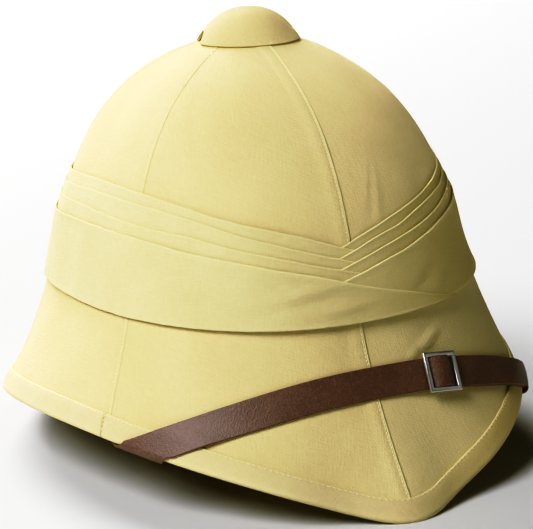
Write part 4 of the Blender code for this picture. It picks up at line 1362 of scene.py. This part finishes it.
# up and over the slide's middle bar, where the other end is sewn round it
HUMP_COURSE = (
    (-reach - 7, (HALF_STRAP + SECOND_LAYER) / 2),
    (-reach - 1, SECOND_LAYER),
    (-reach + 3.4, SECOND_LAYER + 0.2),
    (-5.0, HUMP - 1.5),
    (-2.2, HUMP),
    (2.2, HUMP),
    (5.0, HUMP - 1.5),
    (reach - 3.4, SECOND_LAYER + 0.2),
    (reach + 1, SECOND_LAYER),
    (reach + 5, SECOND_LAYER),
)
hump_places, hump_lifts = zip(*HUMP_COURSE)
fine_places = np.linspace(hump_places[0], hump_places[-1], 44)
fine_lifts = np.interp(fine_places, hump_places, hump_lifts)
for smoothing in range(2):
    fine_lifts[1:-1] = (fine_lifts[:-2] + 2 * fine_lifts[1:-1] + fine_lifts[2:]) / 4
course += [(slide_at + place, lift) for place, lift in zip(fine_places, fine_lifts)]
turn_at = strap_path.stud + STRAP_END - 1.0
course += [(stop, SECOND_LAYER) for stop in strap_path.stations(slide_at + reach + 7, turn_at)]
# round at the stud, and back to the slide as the lower layer
turn_middle = (HALF_STRAP + SECOND_LAYER) / 2
turn_radius = (SECOND_LAYER - HALF_STRAP) / 2
for swing in (70, 45, 20, 0, -20, -45, -70):
    turn = math.radians(swing)
    course.append((turn_at + turn_radius * math.cos(turn), turn_middle + turn_radius * math.sin(turn)))
course += [(stop, HALF_STRAP) for stop in strap_path.stations(turn_at, slide_at + 4)]
# the end goes up round the middle bar
for swing in (-90, -108, -126, -144, -162, 180, 162, 144, 126, 108, 90):
    turn = math.radians(swing)
    course.append((slide_at + LOOP_RADIUS * math.cos(turn), LOOP_MIDDLE + LOOP_RADIUS * math.sin(turn)))
course.append((slide_at + 0.8, LOOP_MIDDLE + LOOP_RADIUS))

course = np.array(course)
tangent = np.concatenate([course[1:], course[-1:]]) - np.concatenate([course[:1], course[:-1]])
tangent /= np.linalg.norm(tangent, axis=1, keepdims=True)
square = np.stack([-tangent[:, 1], tangent[:, 0]], axis=1)
ROUNDED = 0.5 - 0.32 / STRAP_WIDTH  # shares of the width where its rounded edges start, and go over
CUT = 0.5 - 0.08 / STRAP_WIDTH
STRAP_SECTION = (
    # share of the width, share of the half thickness, how much of it is cut edge
    [(-ROUNDED, 1.0, 0.3)]
    + [(share, 1.0, 0.0) for share in (-0.47, -0.43, -0.3, -0.15, 0.0, 0.15, 0.3, 0.43, 0.47)]
    + [(ROUNDED, 1.0, 0.3), (CUT, 0.8, 0.9), (0.5, 0.4, 1.0)]
    + [(0.5, -0.4, 1.0), (CUT, -0.8, 1.0), (ROUNDED, -1.0, 0.6)]
    + [(share, -1.0, 0.0) for share in (0.43, 0.2, 0.0, -0.2, -0.43)]
    + [(-ROUNDED, -1.0, 0.6), (-CUT, -0.8, 1.0), (-0.5, -0.4, 1.0)]
    + [(-0.5, 0.4, 1.0), (-CUT, 0.8, 0.9), (-ROUNDED, 1.0, 0.3)]
)
grid, threads, edges = [], [], []
for travel, middle, forwards, aside in zip(lengths_along(course), course, tangent, square):
    line, flat = [], []
    forward = 1 if forwards[0] > 0 else -1
    for share, level, cut in STRAP_SECTION:
        across = share * STRAP_WIDTH
        along, lift = middle + aside * (HALF_STRAP * level)
        line.append(strap_path.point(along, across, lift))
        flat.append((travel + forward * strap_path.slanted(along, across), across))
    grid.append(line)
    threads.append(flat)
    edges.append([cut for share, level, cut in STRAP_SECTION])
strap = grid_piece("leather_strap", grid, threads, {"cut": edges}, capped=True)

# Vegetable-tanned bridle leather, dyed dark brown and rolled: a fine pebbled grain with a soft wax sheen,
# redder on the cut edges. Its real pebbles are about 0.5 mm wide; drawn coarser, so that they show.
PEBBLE = 0.85
WRINKLE = 1.3
strap_leather, shader = new_finish("bridle_leather")
flat = add_node(strap_leather, "UVMap", "UV", {"uv_map": "threads"})
cells = {"feature": "F1", "Scale": 100 / PEBBLE, "Vector": flat}
pebbles = add_node(strap_leather, "TexVoronoi", "Distance", cells)
wrinkles = pattern(strap_leather, flat, scale=100 / WRINKLE, detail=3.0, roughness=0.6)
clouds = pattern(strap_leather, flat, scale=6.0, detail=2.0)
grain = reckoned(strap_leather, "MULTIPLY_ADD", wrinkles, 0.12, pebbles)
faint = reckoned(strap_leather, "MULTIPLY", clouds, 0.3)
tone = reckoned(strap_leather, "MULTIPLY_ADD", grain, 0.4, faint)
dyed = ramp(strap_leather, tone, (0.2, "#583A32"), (0.54, "#7A584E"))
cut = add_node(strap_leather, "Attribute", "Fac", {"attribute_name": "cut"})
edged = blended(strap_leather, cut, dyed, paint("#6E3A2A"))
rough = add_node(strap_leather, "MapRange", "Result", {"To Min": 0.46, "To Max": 0.60, "Value": grain})
normal = relief(strap_leather, grain, strength=0.6, height=0.00022)
waxed = {"Base Color": edged, "Roughness": rough, "Specular IOR Level": 1.0, "Normal": normal}
set_node(strap_leather, shader, waxed)
strap.data.materials.append(strap_leather)
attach(strap, "root")
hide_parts("chin_strap")

# ---- Slide buckle ----
# A square three-bar slide of nickel-plated brass: a flat stamped frame with rounded edges, and a lower
# middle bar, soldered in, that the strap's end is sewn round.

SLIDE_ROUNDING = 0.5
BAR_INSIDE = 0.7  # how far inside the frame's outline the middle bar ends, and its lugs stand
LUG_RADIUS = 0.75
LUG_INSIDE = 1.0
LUG_TOP = SLIDE_BOTTOM + 0.4
bpy.ops.mesh.primitive_plane_add(size=1.0)
slide = bpy.context.object
slide.name = "nickel_slide"
bpy.ops.object.mode_set(mode="EDIT")
bpy.ops.transform.resize(value=(SLIDE_LENGTH * MM, SLIDE_HEIGHT * MM, 1.0))
bpy.ops.mesh.inset(thickness=SLIDE_BAR * MM, depth=0.0)
bpy.ops.mesh.delete(type="FACE")
bpy.ops.mesh.select_all(action="SELECT")
bpy.ops.transform.translate(value=(0, 0, (SLIDE_BOTTOM + SLIDE_WALL) * MM))
bpy.ops.object.mode_set(mode="OBJECT")
thicken(slide, SLIDE_WALL)
apply_modifier(slide, "BEVEL", {"width": SLIDE_ROUNDING * MM, "segments": 3, "limit_method": "ANGLE"})
bpy.ops.mesh.primitive_cylinder_add(
    vertices=16,
    radius=CENTRE_BAR_WALL / 2 * MM,
    depth=(SLIDE_HEIGHT - 2 * BAR_INSIDE) * MM,
    location=(0, 0, LOOP_MIDDLE * MM),
    rotation=(math.pi / 2, 0, 0),
)
inner_parts = [bpy.context.object]
bpy.ops.object.transform_apply(location=True, rotation=True, scale=True)
for sign in (-1, 1):
    bpy.ops.mesh.primitive_cylinder_add(
        vertices=16,
        radius=LUG_RADIUS * MM,
        depth=(LUG_TOP - CENTRE_BAR_BOTTOM) * MM,
        location=(0, sign * (SLIDE_HEIGHT / 2 - LUG_INSIDE) * MM, (LUG_TOP + CENTRE_BAR_BOTTOM) / 2 * MM),
    )
    inner_parts.append(bpy.context.object)
    bpy.ops.object.transform_apply(location=True, rotation=True, scale=True)
select_only(slide)
for part in inner_parts:
    part.select_set(True)
bpy.ops.object.join()
bpy.ops.object.shade_smooth_by_angle(angle=math.radians(40))
slide.data.transform(strap_path.frame(slide_at, 0.0))
slide.select_set(False)

# Nickel plate over brass, brushed a little by wear: bright, with scratches about 0.5 mm long and duller
# spots about 5 mm across.
bright_nickel = nickel_plate(
    "bright_nickel_plate",
    spots={"scale": 210.0, "detail": 3.0},
    scratches={"scale": 1900.0, "detail": 3.0, "roughness": 0.7},
    colours=("#C9C8C6", "#E9E9E9"),
    rough={"To Min": 0.28, "To Max": 0.44},
)
slide.data.materials.append(bright_nickel)
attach(slide, "root")
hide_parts("slide_buckle")
